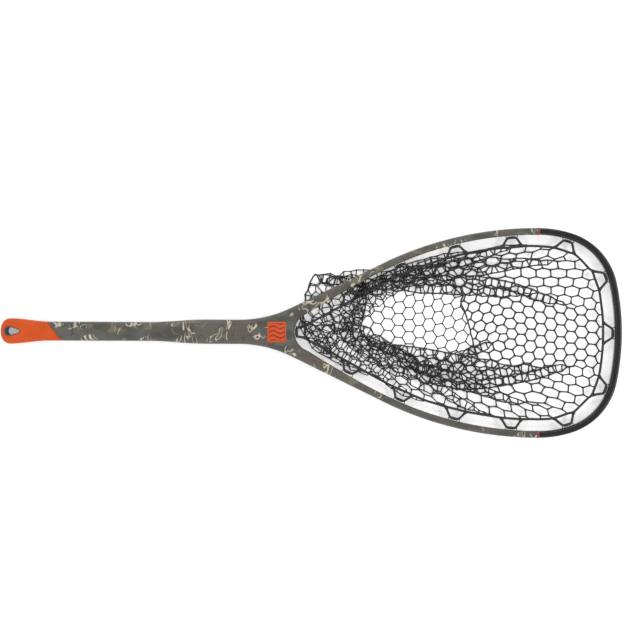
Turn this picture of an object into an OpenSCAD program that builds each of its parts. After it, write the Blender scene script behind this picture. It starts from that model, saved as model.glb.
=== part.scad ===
// Landing net with a rubber mesh bag, lying on its side faces on a table.
// +X runs along the handle to the tip of the hoop, +Y across it, +Z up.
// The origin is under the middle of the outline, on the table.

/* [Hoop] */
// X of the outer edge of the hoop's tip
tip_x = 470; // [465:1:475]
// Width of the hoop's tube, in the plane of the hoop
hoop_w = 10.2; // [9:0.2:12]
// Depth of the hoop's tube, square to the plane of the hoop
hoop_t = 12; // [11:0.5:13]
// Wall of the hoop's hollow tube
tube_wall = 2; // [1.5:0.1:2.4]
// Angle between each arm and the handle's axis
arm_angle = 26; // [24:1:28]

/* [Handle] */
// X of the butt end
butt_x = -470; // [-475:1:-465]
// Half width at the butt's swell
butt_half = 19.3; // [18:0.1:21]
// Half width at the slim neck
neck_half = 14.4; // [13:0.1:16]
// Half width at the forward grip
grip_half = 18.4; // [17:0.1:20]
// Thickness at the grip and the butt
handle_t = 24; // [22:0.5:26]
// Wall of the hollow handle
shell_wall = 2.6; // [2:0.1:3.5]

/* [Lanyard hole] */
// Radius of the hole's round end
hole_r = 6.4; // [5:0.1:7]
// Length of the teardrop hole
hole_length = 22; // [20:0.5:24]

/* [Badge] */
// Length of the badge along the handle
badge_l = 28; // [24:0.5:32]
// Width of the badge
badge_w = 31; // [26:0.5:33]

/* [Bag] */
// Distance from the hoop's centre line to the rim strand
rim_inset = 22; // [20:0.5:24]
// Thickness of the rim strand and of the loops
rim_d = 3.4; // [3:0.1:4]
// Thickness of the mesh where it lies in one layer
mesh_t = 2.4; // [2:0.1:3]
// Distance between two hanging loops, along the hoop
loop_pitch = 89; // [86:0.5:90]

/* [Hidden] */

camo = "#66655f";
orange = "#dc5a26";
black = "#1b1b1d";
rubber = "#232325";
red = "#8c3a34";
foam = "#d9d2bd";
z_mid = handle_t / 2;
gap = 0.2;

// The hoop's centre line: arcs from the tip round to the straight arm, as [radius, angle].
arcs = [[362, 12], [95, 60], [163, 18], [530, arm_angle]];
BOW_ARCS = 3;
line_r = hoop_w / 2;
arm_dir = [cos(arm_angle), sin(arm_angle)];

function heading(i) = i == 0 ? 90 : heading(i - 1) + arcs[i - 1][1];
function outward(h) = [sin(h), -cos(h)];
function arc_start(i) = i == 0 ? [tip_x - line_r, 0]
                      : arc_centre(i - 1) + arcs[i - 1][0] * outward(heading(i));
function arc_centre(i) = arc_start(i) - arcs[i][0] * outward(heading(i));
function arc_length(i) = arcs[i][0] * arcs[i][1] * PI / 180;

// A place on the centre line at distance s from the tip: [point, heading].
function place(s, i = 0) =
    i == len(arcs) ? [arc_start(i - 1 + 1) - s * arm_dir, 180 + arm_angle]
    : s > arc_length(i) ? place(s - arc_length(i), i + 1)
    : let(h = heading(i) + s / arcs[i][0] * 180 / PI) [arc_centre(i) + arcs[i][0] * outward(h), h];

// Plan outline of the straight arm's outer edge, the yoke's flare and the throat.
arm_end = arc_start(len(arcs));
edge_at = arm_end + line_r * [-sin(arm_angle), cos(arm_angle)];
flare_r = 180;
flare_t = flare_r * tan(arm_angle / 2);
flare_x0 = edge_at.x - (edge_at.y - grip_half) / tan(arm_angle) - flare_t;
flare_x1 = flare_x0 + flare_r * sin(arm_angle);
throat_r = 30;
throat_x = -25.8;
throat_join = -11;
arm_slim_x = 100;
arm_wide = 8.6;
throat_half_t = 7.5;

function outer_y(x) = x < flare_x0 ? grip_half
    : x < flare_x1 ? grip_half + flare_r - sqrt(pow(flare_r, 2) - pow(x - flare_x0, 2))
    : edge_at.y + (x - edge_at.x) * tan(arm_angle);
function arm_span(x) = hoop_w / cos(arm_angle)
    + arm_wide * pow(max(0, 1 - x / arm_slim_x), 1.5);
function inner_y(x) = x < throat_join
    ? sqrt(max(0, pow(throat_r, 2) - pow(x - throat_x - throat_r, 2)))
    : outer_y(x) - arm_span(x);
function arm_half_t(x) = throat_half_t
    + (hoop_t / 2 - throat_half_t) * (x - throat_x) / (arm_end.x - throat_x);

// Side outline of the handle: half width and half thickness along X.
function ease(x, x0, x1) = 0.5 - 0.5 * cos(180 * min(1, max(0, (x - x0) / (x1 - x0))));
butt_flare = [-458, -395];
grip_flare = [-244, -162];
function handle_half(x) = butt_half + (neck_half - butt_half) * ease(x, butt_flare[0], butt_flare[1])
    + (grip_half - neck_half) * ease(x, grip_flare[0], grip_flare[1]);
neck_thin = 1.5;
function handle_half_t(x) = handle_t / 2
    - neck_thin * (ease(x, butt_flare[0], butt_flare[1]) - ease(x, grip_flare[0], grip_flare[1]));

// A rounded rectangle, as a closed list of points about its middle.
corner_steps = 3;
function corner(cx, cy, r, a0) =
    [for (i = [0:corner_steps]) [cx + r * cos(a0 + 90 * i / corner_steps),
                                 cy + r * sin(a0 + 90 * i / corner_steps)]];
function rounded_rect(w, t, r) = concat(
    corner(w / 2 - r, t / 2 - r, r, 0), corner(r - w / 2, t / 2 - r, r, 90),
    corner(r - w / 2, r - t / 2, r, 180), corner(w / 2 - r, r - t / 2, r, 270));

// The same rectangle stood upright on the plan line from a to b.
function section(a, b, t, r) = let(w = norm(b - a), d = (b - a) / w)
    [for (p = rounded_rect(w, t, r)) [a.x + d.x * (w / 2 + p.x), a.y + d.y * (w / 2 + p.x), z_mid + p.y]];

// A closed skin through a list of sections of equal length.
module loft(rings) {
    n = len(rings[0]);
    last = (len(rings) - 1) * n;
    polyhedron(
        points = [for (r = rings) each r],
        faces = concat(
            [[for (i = [0:n - 1]) i]],
            [[for (i = [n - 1:-1:0]) last + i]],
            [for (k = [0:len(rings) - 2], i = [0:n - 1]) let(a = k * n + i, b = k * n + (i + 1) % n)
                [a, a + n, b + n]],
            [for (k = [0:len(rings) - 2], i = [0:n - 1]) let(a = k * n + i, b = k * n + (i + 1) % n)
                [a, b + n, b]]));
}

// Handle sections, each drawn in by a distance d from the outer skin.
edge_r = 6.5;
handle_front = -110;
handle_stations = [-405, -395, -370, -320, -244, -230, -216, -203, -190, -176, -162, handle_front];
function handle_section(x, d = 0) = section([x, d - handle_half(x)], [x, handle_half(x) - d],
                                            2 * (handle_half_t(x) - d), edge_r - d);

// The slanting joint between the butt cap and the handle.
cap_joint_x = -388;
cap_joint_turn = 39;
module butt_side(shift = 0) {
    translate([cap_joint_x, 0, 0]) rotate([0, 0, cap_joint_turn])
        translate([shift - 150, -60, -10]) cube([150, 120, handle_t + 20]);
}

// Handle: a hollow moulded shell, closed by the cap at one end and the yoke at the other.
module handle_shell() {
    color(camo) difference() {
        loft([for (x = handle_stations) handle_section(x)]);
        loft([for (x = concat([-410], handle_stations)) handle_section(min(x, handle_front), shell_wall)]
            );
        butt_side();
    }
}

module foam_core() {
    foam_back = -352;
    color(foam) loft([for (x = concat([foam_back], [for (s = handle_stations) if (s > foam_back) s - gap]))
        handle_section(x, shell_wall + gap)]);
}

// Teardrop outline of the lanyard hole: the round end is towards the butt.
hole_x = -456;
hole_tip_r = 2;
module teardrop(grow = 0) {
    reach = hole_length - hole_r - hole_tip_r;
    lean = acos((hole_r - hole_tip_r) / reach);
    big = hole_r + grow;
    small = hole_tip_r + grow;
    translate([hole_x, 0]) polygon(concat(
        [for (i = [0:20]) let(a = lean + (360 - 2 * lean) * i / 20) big * [cos(a), sin(a)]],
        [for (i = [-3:3]) let(a = lean * i / 3) [reach + small * cos(a), small * sin(a)]]));
}

liner_wall = 1.4;
butt_round = 15;
butt_stations = [0, 1, 3, 6, 10, 15];
function butt_section(d) = let(x = butt_x + d,
    cut = butt_round - sqrt(pow(butt_round, 2) - pow(butt_round - d, 2)),
    half = butt_half - cut, half_t = handle_t / 2 - 0.35 * cut)
    section([x, -half], [x, half], 2 * half_t, min(edge_r, half - 0.1));

module butt_cap() {
    tongue = [-404, -357];
    color(orange) difference() {
        union() {
            intersection() {
                loft([for (d = butt_stations) butt_section(d),
                      for (x = [-448, -440, -430, -420, -410, -395, -380, -365]) handle_section(x)]);
                butt_side(-gap);
            }
            loft([for (x = [tongue[0], -395, -380, tongue[1]]) handle_section(x, shell_wall + gap)]);
        }
        translate([0, 0, -1]) linear_extrude(handle_t + 2) teardrop(liner_wall);
    }
}

module lanyard_liner() {
    color("#4a4650") linear_extrude(handle_t) difference() {
        teardrop(liner_wall - gap / 4);
        teardrop();
    }
}

// Yoke: the handle flares into the throat. Its top falls away evenly towards the hoop.
yoke_r = 5;
yoke_drop = handle_t / 2 - throat_half_t;
yoke_slope = atan(yoke_drop / (throat_x - handle_front));
badge_x = -52.6;
badge_t = 2;
badge_sunk = 1.2;
stitch_r = 0.8;
stitch_reach = 8.6;
stitch_off = 3;

module badge_block(grow, height) {
    top = handle_t - yoke_drop * (badge_x - handle_front) / (throat_x - handle_front);
    translate([badge_x, 0, top]) rotate([0, yoke_slope, 0]) translate([0, 0, -badge_sunk])
        linear_extrude(height) polygon(rounded_rect(badge_l + 2 * grow, badge_w + 2 * grow, 2));
}

module yoke() {
    stations = [handle_front, -100, -90, -80, -70, -60, -50, -40, -32, throat_x];
    color(camo) difference() {
        loft([for (x = stations) let(f = (x - handle_front) / (throat_x - handle_front))
            section([x, -outer_y(x)], [x, outer_y(x)], handle_t - 2 * yoke_drop * f,
                    edge_r + (yoke_r - edge_r) * f)]);
        badge_block(0.1, 10);
        for (side = [-1, 1]) translate([throat_x - 14, side * stitch_reach, z_mid])
            rotate([0, 90, 0]) cylinder(r = stitch_r + gap / 2, h = 20, $fn = 24);
    }
}

module badge() {
    color(orange) badge_block(0, badge_t);
}

// Arms: from the throat to the slim tube, tapering in both directions.
arm_stations = [throat_x, -25.4, -24.6, -23.2, -21, -17, throat_join, 0, 12, 26, 42, 60, 80, 98];
function arm_corner(x) = min(yoke_r, yoke_r + (3.5 - yoke_r) * (x - throat_x) / (arm_end.x - throat_x));
module arm() {
    tube_end = [arm_end - line_r * [-sin(arm_angle), cos(arm_angle)], edge_at];
    color(camo) difference() {
        loft([for (x = arm_stations)
                  section([x, inner_y(x)], [x, outer_y(x)], 2 * arm_half_t(x), arm_corner(x)),
              section(tube_end[0], tube_end[1], hoop_t, 3.5)]);
        stitch_holes(6, 6);
    }
}
module arm_left() { arm(); }
module arm_right() { mirror([0, 1, 0]) arm(); }

// Profile of the hollow tube, with a round groove for the lacing on its outer side.
groove_r = 1.3;
tube_r = 3.5;
groove_steps = 6;
module tube_profile() {
    difference() {
        polygon(rounded_rect(hoop_w, hoop_t, tube_r));
        polygon(rounded_rect(hoop_w - 2 * tube_wall, hoop_t - 2 * tube_wall, tube_r - tube_wall));
        polygon([for (i = [0:groove_steps]) [line_r - groove_r * sin(180 * i / groove_steps),
                                             groove_r * cos(180 * i / groove_steps)],
                 [line_r + 1, -groove_r], [line_r + 1, groove_r]]);
    }
}

// Sweeps the children's profile along one arc of the centre line, from a to b degrees into it.
module along_arc(i, a, b) {
    translate([arc_centre(i).x, arc_centre(i).y, z_mid])
        rotate([0, 0, heading(i) - 90 + a]) rotate_extrude(angle = b - a, $fn = 360)
            translate([arcs[i][0], 0]) children();
}

// The holes that carry the lacing through the tube to each hanging loop.
LOOPS_EACH_SIDE = 6;
function arm_extra(x) = x < arm_end.x ? arm_span(x) * cos(arm_angle) - hoop_w + 0.6 : 0;
function loop_shift(k) = arm_extra(place(k * loop_pitch)[0].x);
module at_loop(k) {
    p = place(k * loop_pitch);
    translate([p[0].x, p[0].y, z_mid]) rotate([0, 0, p[1] - 90])
        translate([-loop_shift(k), 0, 0]) children();
}
module stitch_holes(first, last) {
    for (k = [first:last], side = [-1, 1]) at_loop(k) translate([-15, side * stitch_reach, 0])
        rotate([0, 90, 0]) cylinder(r = stitch_r + gap / 2, h = 40, $fn = 24);
}

module side_rail() {
    color(camo) difference() {
        along_arc(BOW_ARCS, 0, arm_angle) tube_profile();
        stitch_holes(3, 5);
    }
}
module side_rail_left() { side_rail(); }
module side_rail_right() { mirror([0, 1, 0]) side_rail(); }

module front_bow() {
    color(black) difference() {
        union() {
            along_arc(0, -arcs[0][1], arcs[0][1]) tube_profile();
            for (i = [1, 2]) {
                along_arc(i, 0, arcs[i][1]) tube_profile();
                mirror([0, 1, 0]) along_arc(i, 0, arcs[i][1]) tube_profile();
            }
        }
        stitch_holes(0, 2);
        mirror([0, 1, 0]) stitch_holes(1, 2);
    }
}

// Splice: a bar inside both tubes at the widest point of the hoop, and a band outside.
spigot_half = 20;
band_w = 3.6;
module splice_spigot() {
    w = hoop_w - 2 * tube_wall - 2 * gap;
    t = hoop_t - 2 * tube_wall - 2 * gap;
    turn = spigot_half / PI * 180;
    color("#77787a") {
        along_arc(2, arcs[2][1] - turn / arcs[2][0], arcs[2][1]) square([w, t], center = true);
        along_arc(BOW_ARCS, 0, turn / arcs[BOW_ARCS][0]) square([w, t], center = true);
    }
}
module splice_spigot_left() { splice_spigot(); }
module splice_spigot_right() { mirror([0, 1, 0]) splice_spigot(); }

module splice_band() {
    p = arc_start(BOW_ARCS);
    color(red) translate([p.x, p.y, z_mid]) rotate([90, 0, 90])
        translate([0, 0, -band_w / 2]) linear_extrude(band_w) difference() {
            polygon(rounded_rect(hoop_w + 1, hoop_t + 1, tube_r + 0.5));
            polygon(rounded_rect(hoop_w + 0.1, hoop_t + 0.1, tube_r));
        }
}
module splice_band_left() { splice_band(); }
module splice_band_right() { mirror([0, 1, 0]) splice_band(); }

// Lacing: the outer run lies in the tube's groove, and a stitch reaches in at each loop.
// A hair's gap between its arcs keeps each one a clean solid.
hair = 0.02;
module lacing_run(i, a, b) {
    along_arc(i, a, b) translate([line_r - 0.45, 0]) rotate(22.5) circle(r = stitch_r, $fn = 8);
}
module lacing_cord() {
    color(black) {
        lacing_run(0, -arcs[0][1], arcs[0][1]);
        for (i = [1:BOW_ARCS]) {
            lacing_run(i, hair, arcs[i][1]);
            mirror([0, 1, 0]) lacing_run(i, hair, arcs[i][1]);
        }
    }
}

// One stitch, in the frame of at_loop: two legs through the tube and a run along its inside.
leg_r = stitch_r - 0.1;
module stitch(depth) {
    inside = -line_r - stitch_off;
    for (side = [-1, 1]) translate([inside, side * stitch_reach, 0]) rotate([0, 90, 0])
        cylinder(r = leg_r, h = depth - inside, $fn = 24);
    translate([inside, stitch_reach + stitch_r, 0]) rotate([90, 0, 0])
        cylinder(r = stitch_r, h = 2 * (stitch_reach + stitch_r), $fn = 24);
}
module both_sides() {
    for (k = [0:LOOPS_EACH_SIDE]) {
        $shift = loop_shift(k);
        at_loop(k) children();
        if (k > 0) mirror([0, 1, 0]) at_loop(k) children();
    }
}
module at_throat() {
    translate([throat_x - line_r, 0, z_mid]) rotate([0, 0, 180]) children();
}
module lacing_stitches() {
    color(black) {
        both_sides() stitch(line_r - groove_r - gap);
        at_throat() stitch(line_r + 8);
    }
}

// Hanging loops: each is a rubber trapezoid whose short side is a sleeve round the stitch.
sleeve_half = 7;
foot_half = 15;
module hanging_loop(shift = 0, foot_half = foot_half) {
    top = -line_r - stitch_off + rim_d / 2;
    foot = rim_d / 2 + 0.3 - rim_inset + shift;
    lip = rim_d * 1.1;
    translate([0, 0, -rim_d / 2]) linear_extrude(rim_d) difference() {
        polygon([[top, sleeve_half], [foot, foot_half], [foot, -foot_half], [top, -sleeve_half]]);
        polygon([[top - lip, sleeve_half - 2], [foot + 1.2, foot_half - 6.5],
                 [foot + 1.2, 6.5 - foot_half], [top - lip, 2 - sleeve_half]]);
    }
}
module net_loops() {
    color(rubber) difference() {
        union() {
            both_sides() hanging_loop($shift);
            at_throat() hanging_loop(0, back_half);
        }
        both_sides() stitch_tunnel();
        at_throat() stitch_tunnel();
    }
}
module stitch_tunnel() {
    translate([-line_r - stitch_off, 30, 0]) rotate([90, 0, 0])
        cylinder(r = stitch_r + gap / 2, h = 60, $fn = 24);
}

// Closed outline of the bag at a distance d inside the hoop's centre line.
back_half = 10;
bag_back_x = throat_x - line_r + rim_inset;
function side_points(d) = concat(
    [for (i = [0:len(arcs) - 1], a = [0:arcs[i][1] / 4:arcs[i][1] - 0.1])
        arc_centre(i) + (arcs[i][0] - d) * outward(heading(i) + a)],
    [for (s = [0, 1]) let(p = arm_end + d * [sin(arm_angle), -cos(arm_angle)],
                          q = [bag_back_x + d - rim_inset, back_half - 0.6 * (d - rim_inset)])
        p + s * (q - p)]);
function bag_outline(d) = let(half = side_points(d))
    concat(half, [for (i = [len(half) - 1:-1:1]) [half[i].x, -half[i].y]]);

module bag_band(d, width, height) {
    linear_extrude(height) difference() {
        polygon(bag_outline(d - width / 2));
        polygon(bag_outline(d + width / 2));
    }
}

module net_rim() {
    color(rubber) translate([0, 0, z_mid - rim_d / 2]) bag_band(rim_inset, rim_d, rim_d);
}

// The bag lies folded down on the table inside the hoop.
wall_t = 2.4;
module net_wall() {
    color(rubber) bag_band(rim_inset, wall_t, z_mid - rim_d / 2);
}
module net_floor() {
    color(rubber) linear_extrude(mesh_t) polygon(bag_outline(rim_inset + wall_t / 2 + gap));
}

// Seam between the wall panel and the bottom panel, where it shows between two folds.
module net_seam() {
    seam_r = 150;
    color(rubber) translate([98, -12, mesh_t]) rotate([0, 0, 8])
        rotate_extrude(angle = 24, $fn = 180) translate([seam_r, 0]) square([2.6, 2.2]);
}

module fold_slab(outline, height) {
    color(rubber) translate([0, 0, mesh_t]) linear_extrude(height) intersection() {
        polygon(outline);
        polygon(bag_outline(rim_inset + wall_t / 2 + 2 * gap));
    }
}
module net_folds_upper() {
    fold_slab([[40, 47], [108, 74], [200, 104], [300, 113], [372, 104], [360, 92], [250, 80],
               [180, 62], [110, 52], [60, 34]], 8);
}
module net_folds_lower() {
    fold_slab([[32, 30], [110, 42], [200, 28], [240, 2], [262, -40], [262, -100], [200, -108],
               [140, -86], [60, -48], [24, -12]], 10);
}
module net_side_lobe() {
    color(rubber) linear_extrude(4)
        polygon([[-8, 52], [-20, 62], [-22, 70], [-16, 78], [20, 90], [70, 98], [84, 96], [88, 90],
                 [60, 60], [30, 50]]);
}

handle_shell();
foam_core();
butt_cap();
lanyard_liner();
yoke();
badge();
arm_left();
arm_right();
side_rail_left();
side_rail_right();
front_bow();
splice_spigot_left();
splice_spigot_right();
splice_band_left();
splice_band_right();
lacing_cord();
lacing_stitches();
net_loops();
net_rim();
net_wall();
net_floor();
net_seam();
net_folds_upper();
net_folds_lower();
net_side_lobe();
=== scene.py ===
"""Looks of the landing net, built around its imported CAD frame.

Shapes are worked out in millimetres in the frame's axes: +X along the handle to the hoop's tip,
+Y across it, +Z up from the table. Meshes, lights and the camera are in metres.
"""
import math

import bmesh
import bpy
import numpy as np
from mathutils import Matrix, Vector
from mathutils.geometry import delaunay_2d_cdt


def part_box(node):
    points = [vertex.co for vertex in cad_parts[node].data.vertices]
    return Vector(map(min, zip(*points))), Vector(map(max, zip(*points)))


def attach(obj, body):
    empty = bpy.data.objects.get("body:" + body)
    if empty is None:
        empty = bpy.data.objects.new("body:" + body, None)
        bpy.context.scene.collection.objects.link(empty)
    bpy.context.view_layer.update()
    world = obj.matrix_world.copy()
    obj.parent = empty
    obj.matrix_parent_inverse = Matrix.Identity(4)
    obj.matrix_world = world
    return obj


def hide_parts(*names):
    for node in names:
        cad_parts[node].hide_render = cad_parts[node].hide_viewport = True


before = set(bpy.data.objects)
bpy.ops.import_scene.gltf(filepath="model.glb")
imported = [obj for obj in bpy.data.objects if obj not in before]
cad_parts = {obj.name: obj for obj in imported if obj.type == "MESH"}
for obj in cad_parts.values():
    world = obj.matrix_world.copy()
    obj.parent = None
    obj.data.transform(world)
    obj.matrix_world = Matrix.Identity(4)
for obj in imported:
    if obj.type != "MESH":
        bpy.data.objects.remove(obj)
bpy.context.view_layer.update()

MM = 0.001
BODY = "root"
SIDES = (("left", 1), ("right", -1))


# ---------------------------------------------------------------- sizes, in millimetres

def side(node, end, axis):
    """One side of a CAD node's box: end 0 is the low side, 1 the high one."""
    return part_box(node)[end][axis] / MM


TIP_X = side("front_bow", 1, 0)
Z_MID = (side("front_bow", 0, 2) + side("front_bow", 1, 2)) / 2
HOOP_T = side("front_bow", 1, 2) - side("front_bow", 0, 2)
HOOP_W = 10.2
LINE_R = HOOP_W / 2
TUBE_CORNER = 3.5
GROOVE_R = 1.3

# The hoop's centre line: (radius, angle) of each arc from the tip round to the straight arm.
ARCS = [(362, 12), (95, 60), (163, 18), (530, 26)]
BOW_ARCS = 3
ARM_ANGLE = math.radians(26)
LOOP_PITCH = 89
LOOPS_EACH_SIDE = 6

BUTT_X = side("butt_cap", 0, 0)
BUTT_HALF = side("butt_cap", 1, 1)
HANDLE_T = side("butt_cap", 1, 2) - side("butt_cap", 0, 2)
NECK_HALF = 14.4
GRIP_HALF = side("handle_shell", 1, 1)
NECK_THIN = 1.5
EDGE_R = 6.5
BUTT_FLARE = (-458, -395)
GRIP_FLARE = (-244, -162)
BUTT_ROUND = 15
BUTT_FLATTER = 0.45                 # the butt is rounded this much in height, against its width
CAP_JOINT_X = -388
CAP_JOINT_TURN = math.radians(39)
CAP_JOINT_HALF_GAP = 0.1
CAP_JOINT_CHAMFER = 0.5
SLANT_REACH = 46                    # sections lean towards the joint's slant this near it
HANDLE_FRONT = side("yoke", 0, 0)

HOLE_X = -456
HOLE_R = 6.4
HOLE_LENGTH = 22
HOLE_TIP_R = 2
HOLE_FILLET = 1.6
LINER_WALL = 1.4
LINER_SUNK = 1.5                    # the middle of the lining's lips, below the cap's faces

THROAT_R = 30
THROAT_X = -25.8
THROAT_JOIN_X = -11                 # the throat's arc meets the arms' inner edges here
THROAT_HALF_T = 7.5
YOKE_EDGE_R = 5
FLARE_R = 180
ARM_SLIM_X = 100
ARM_WIDE = 8.6

BADGE_X = -52.6
BADGE_L = 28
BADGE_W = 31
BADGE_T = 2
BADGE_SUNK = 1.2
BADGE_CORNER = 2.0
BADGE_EDGE_R = 0.6
BADGE_RELIEF = 0.35
BADGE_RIM = (0.8, 2.0)              # the raised rim, from the plaque's edge inwards
BADGE_FIELD = 3.0                   # the ridges keep this far from the edge
RIDGE_PITCH = 7.0
RIDGE_HALF = 1.9
RIDGE_FALL = 0.5
RIDGE_SWAY, RIDGE_WAVE = 2.2, 3.4   # how far the ridges sway, and the length of a wave over 2 pi
HOLLOW_INSET, HOLLOW_TOP = 2.2, 0.1 # the hollows, painted darker as shade, lie inside and below these

CORD_R = 0.8
CORD_SUNK = 0.45                    # the cord's middle, in from the tube's outer side
STITCH_REACH = 8.6                  # from a stitch's middle to each of its ends
STITCH_OFF = 3
THROAT_STITCH_DEPTH = 8


# ---------------------------------------------------------------- the frame's plan

def heading(i):
    """Direction of the centre line at the start of arc i, in degrees."""
    return 90 + sum(angle for _, angle in ARCS[:i])


def outward(degrees):
    a = math.radians(degrees)
    return np.array([math.sin(a), -math.cos(a)])


def arc_start(i):
    p = np.array([TIP_X - LINE_R, 0.0])
    for k in range(i):
        p = p + ARCS[k][0] * (outward(heading(k + 1)) - outward(heading(k)))
    return p


ARC_LENGTHS = [r * math.radians(a) for r, a in ARCS]
BOW_S = sum(ARC_LENGTHS[:BOW_ARCS])
HOOP_S = sum(ARC_LENGTHS)
ARM_END = arc_start(len(ARCS))
ARM_DIR = np.array([math.cos(ARM_ANGLE), math.sin(ARM_ANGLE)])
ARM_OUT = np.array([-ARM_DIR[1], ARM_DIR[0]])
EDGE_AT = ARM_END + LINE_R * ARM_OUT


def place(s):
    """(point, outward direction) on the centre line at distance s from the tip; +Y where s > 0."""
    flip = np.array([1, 1 if s >= 0 else -1])
    left = abs(s)
    for i, (r, angle) in enumerate(ARCS):
        if left <= ARC_LENGTHS[i]:
            h = heading(i) + math.degrees(left / r)
            return (arc_start(i) + r * (outward(h) - outward(heading(i)))) * flip, outward(h) * flip
        left -= ARC_LENGTHS[i]
    return (ARM_END - left * ARM_DIR) * flip, outward(heading(len(ARCS))) * flip


FLARE_T = FLARE_R * math.tan(ARM_ANGLE / 2)
FLARE_X0 = EDGE_AT[0] - (EDGE_AT[1] - GRIP_HALF) / math.tan(ARM_ANGLE) - FLARE_T
FLARE_X1 = FLARE_X0 + FLARE_R * math.sin(ARM_ANGLE)


def outer_y(x):
    """Half width of the yoke and the arms, to their outer edge."""
    if x < FLARE_X0:
        return GRIP_HALF
    if x < FLARE_X1:
        return GRIP_HALF + FLARE_R - math.sqrt(FLARE_R ** 2 - (x - FLARE_X0) ** 2)
    return EDGE_AT[1] + (x - EDGE_AT[0]) * math.tan(ARM_ANGLE)


def arm_span(x):
    """Width of an arm, measured along Y."""
    return HOOP_W / math.cos(ARM_ANGLE) + ARM_WIDE * max(0, 1 - x / ARM_SLIM_X) ** 1.5


def yoke_half_t(x):
    """Half thickness of the yoke and the arms."""
    if x < THROAT_X:
        f = (x - HANDLE_FRONT) / (THROAT_X - HANDLE_FRONT)
        return HANDLE_T / 2 + (THROAT_HALF_T - HANDLE_T / 2) * f
    f = (x - THROAT_X) / (ARM_END[0] - THROAT_X)
    return THROAT_HALF_T + (HOOP_T / 2 - THROAT_HALF_T) * min(1, f)


def ease(x, x0, x1):
    """A smooth rise from 0 at x0 to 1 at x1."""
    return 0.5 - 0.5 * math.cos(math.pi * min(1, max(0, (x - x0) / (x1 - x0))))


def handle_half(x):
    return (BUTT_HALF + (NECK_HALF - BUTT_HALF) * ease(x, *BUTT_FLARE)
            + (GRIP_HALF - NECK_HALF) * ease(x, *GRIP_FLARE))


def handle_half_t(x):
    return HANDLE_T / 2 - NECK_THIN * (ease(x, *BUTT_FLARE) - ease(x, *GRIP_FLARE))


# ---------------------------------------------------------------- materials

class Shader:
    """A material with a Principled shader, and short calls to add and join nodes."""

    def __init__(self, name, **inputs):
        self.mat = bpy.data.materials.new(name)
        self.mat.use_nodes = True
        self.nodes = self.mat.node_tree.nodes
        self.links = self.mat.node_tree.links
        self.bsdf = self.nodes["Principled BSDF"]
        self.coords = self.nodes.new("ShaderNodeTexCoord").outputs["Object"]
        for key, value in inputs.items():
            self.set(self.bsdf, key.replace("_", " "), value)

    def plug(self, socket, value):
        """Links or sets a socket; a colour may leave out its alpha."""
        if isinstance(value, bpy.types.NodeSocket):
            self.links.new(value, socket)
        elif socket.type == "RGBA" and len(value) == 3:
            socket.default_value = (*value, 1)
        else:
            socket.default_value = value

    def set(self, node, key, value):
        """Links or sets an input; its name is matched without regard to case."""
        names = {s.name.lower(): s for s in node.inputs if s.enabled}
        self.plug(names[key.lower()], value)

    def add(self, kind, values):
        """A new node with some of its inputs linked or set."""
        node = self.nodes.new(kind)
        for key, value in values.items():
            self.set(node, key, value)
        return node

    def scaled(self, x=1, y=1, z=1, turn=0):
        """Object coordinates, stretched along each axis and turned about Z."""
        node = self.add("ShaderNodeMapping", {"Vector": self.coords, "Scale": (x, y, z),
                                              "Rotation": (0, 0, turn)})
        return node.outputs["Vector"]

    def noise(self, scale, detail=2, vector=None, distortion=0):
        node = self.add("ShaderNodeTexNoise", {"Vector": vector or self.coords, "Scale": scale,
                                               "Detail": detail, "Distortion": distortion})
        return node.outputs["Fac"]

    def ramp(self, value, low, high, out_low=0, out_high=1):
        """value between low and high turned into out_low to out_high, and held beyond them."""
        node = self.add("ShaderNodeMapRange", {"Value": value, "From Min": low, "From Max": high,
                                               "To Min": out_low, "To Max": out_high})
        return node.outputs["Result"]

    def math(self, operation, *values):
        node = self.nodes.new("ShaderNodeMath")
        node.operation = operation
        for socket, value in zip(node.inputs, values):
            self.plug(socket, value)
        return node.outputs["Value"]

    def times(self, a, b):
        return self.math("MULTIPLY", a, b)

    def line(self, value, middle, width):
        """1 where value is all but at middle, falling to 0 at width from it."""
        off = self.math("ABSOLUTE", self.math("SUBTRACT", value, middle))
        return self.ramp(off, width * 0.4, width, 1, 0)

    def mix(self, factor, a, b):
        node = self.nodes.new("ShaderNodeMix")
        node.data_type = "RGBA"
        for key, value in (("Factor", factor), ("A", a), ("B", b)):
            self.set(node, key, value)
        return next(s for s in node.outputs if s.type == "RGBA")

    def bump(self, height, distance, strength):
        node = self.add("ShaderNodeBump", {"Height": height, "Distance": distance, "Strength": strength})
        self.set(self.bsdf, "Normal", node.outputs["Normal"])

    def two_tone(self, pattern, low, high, colour, shade):
        """Base colour that turns from colour to shade as a pattern rises from low to high."""
        self.set(self.bsdf, "Base Color", self.mix(self.ramp(pattern, low, high), colour, shade))

    def uneven(self, scale, detail, smoothest, roughest):
        """Roughness that varies from place to place."""
        self.set(self.bsdf, "Roughness", self.ramp(self.noise(scale, detail), 0.3, 0.7, smoothest, roughest))


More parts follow.
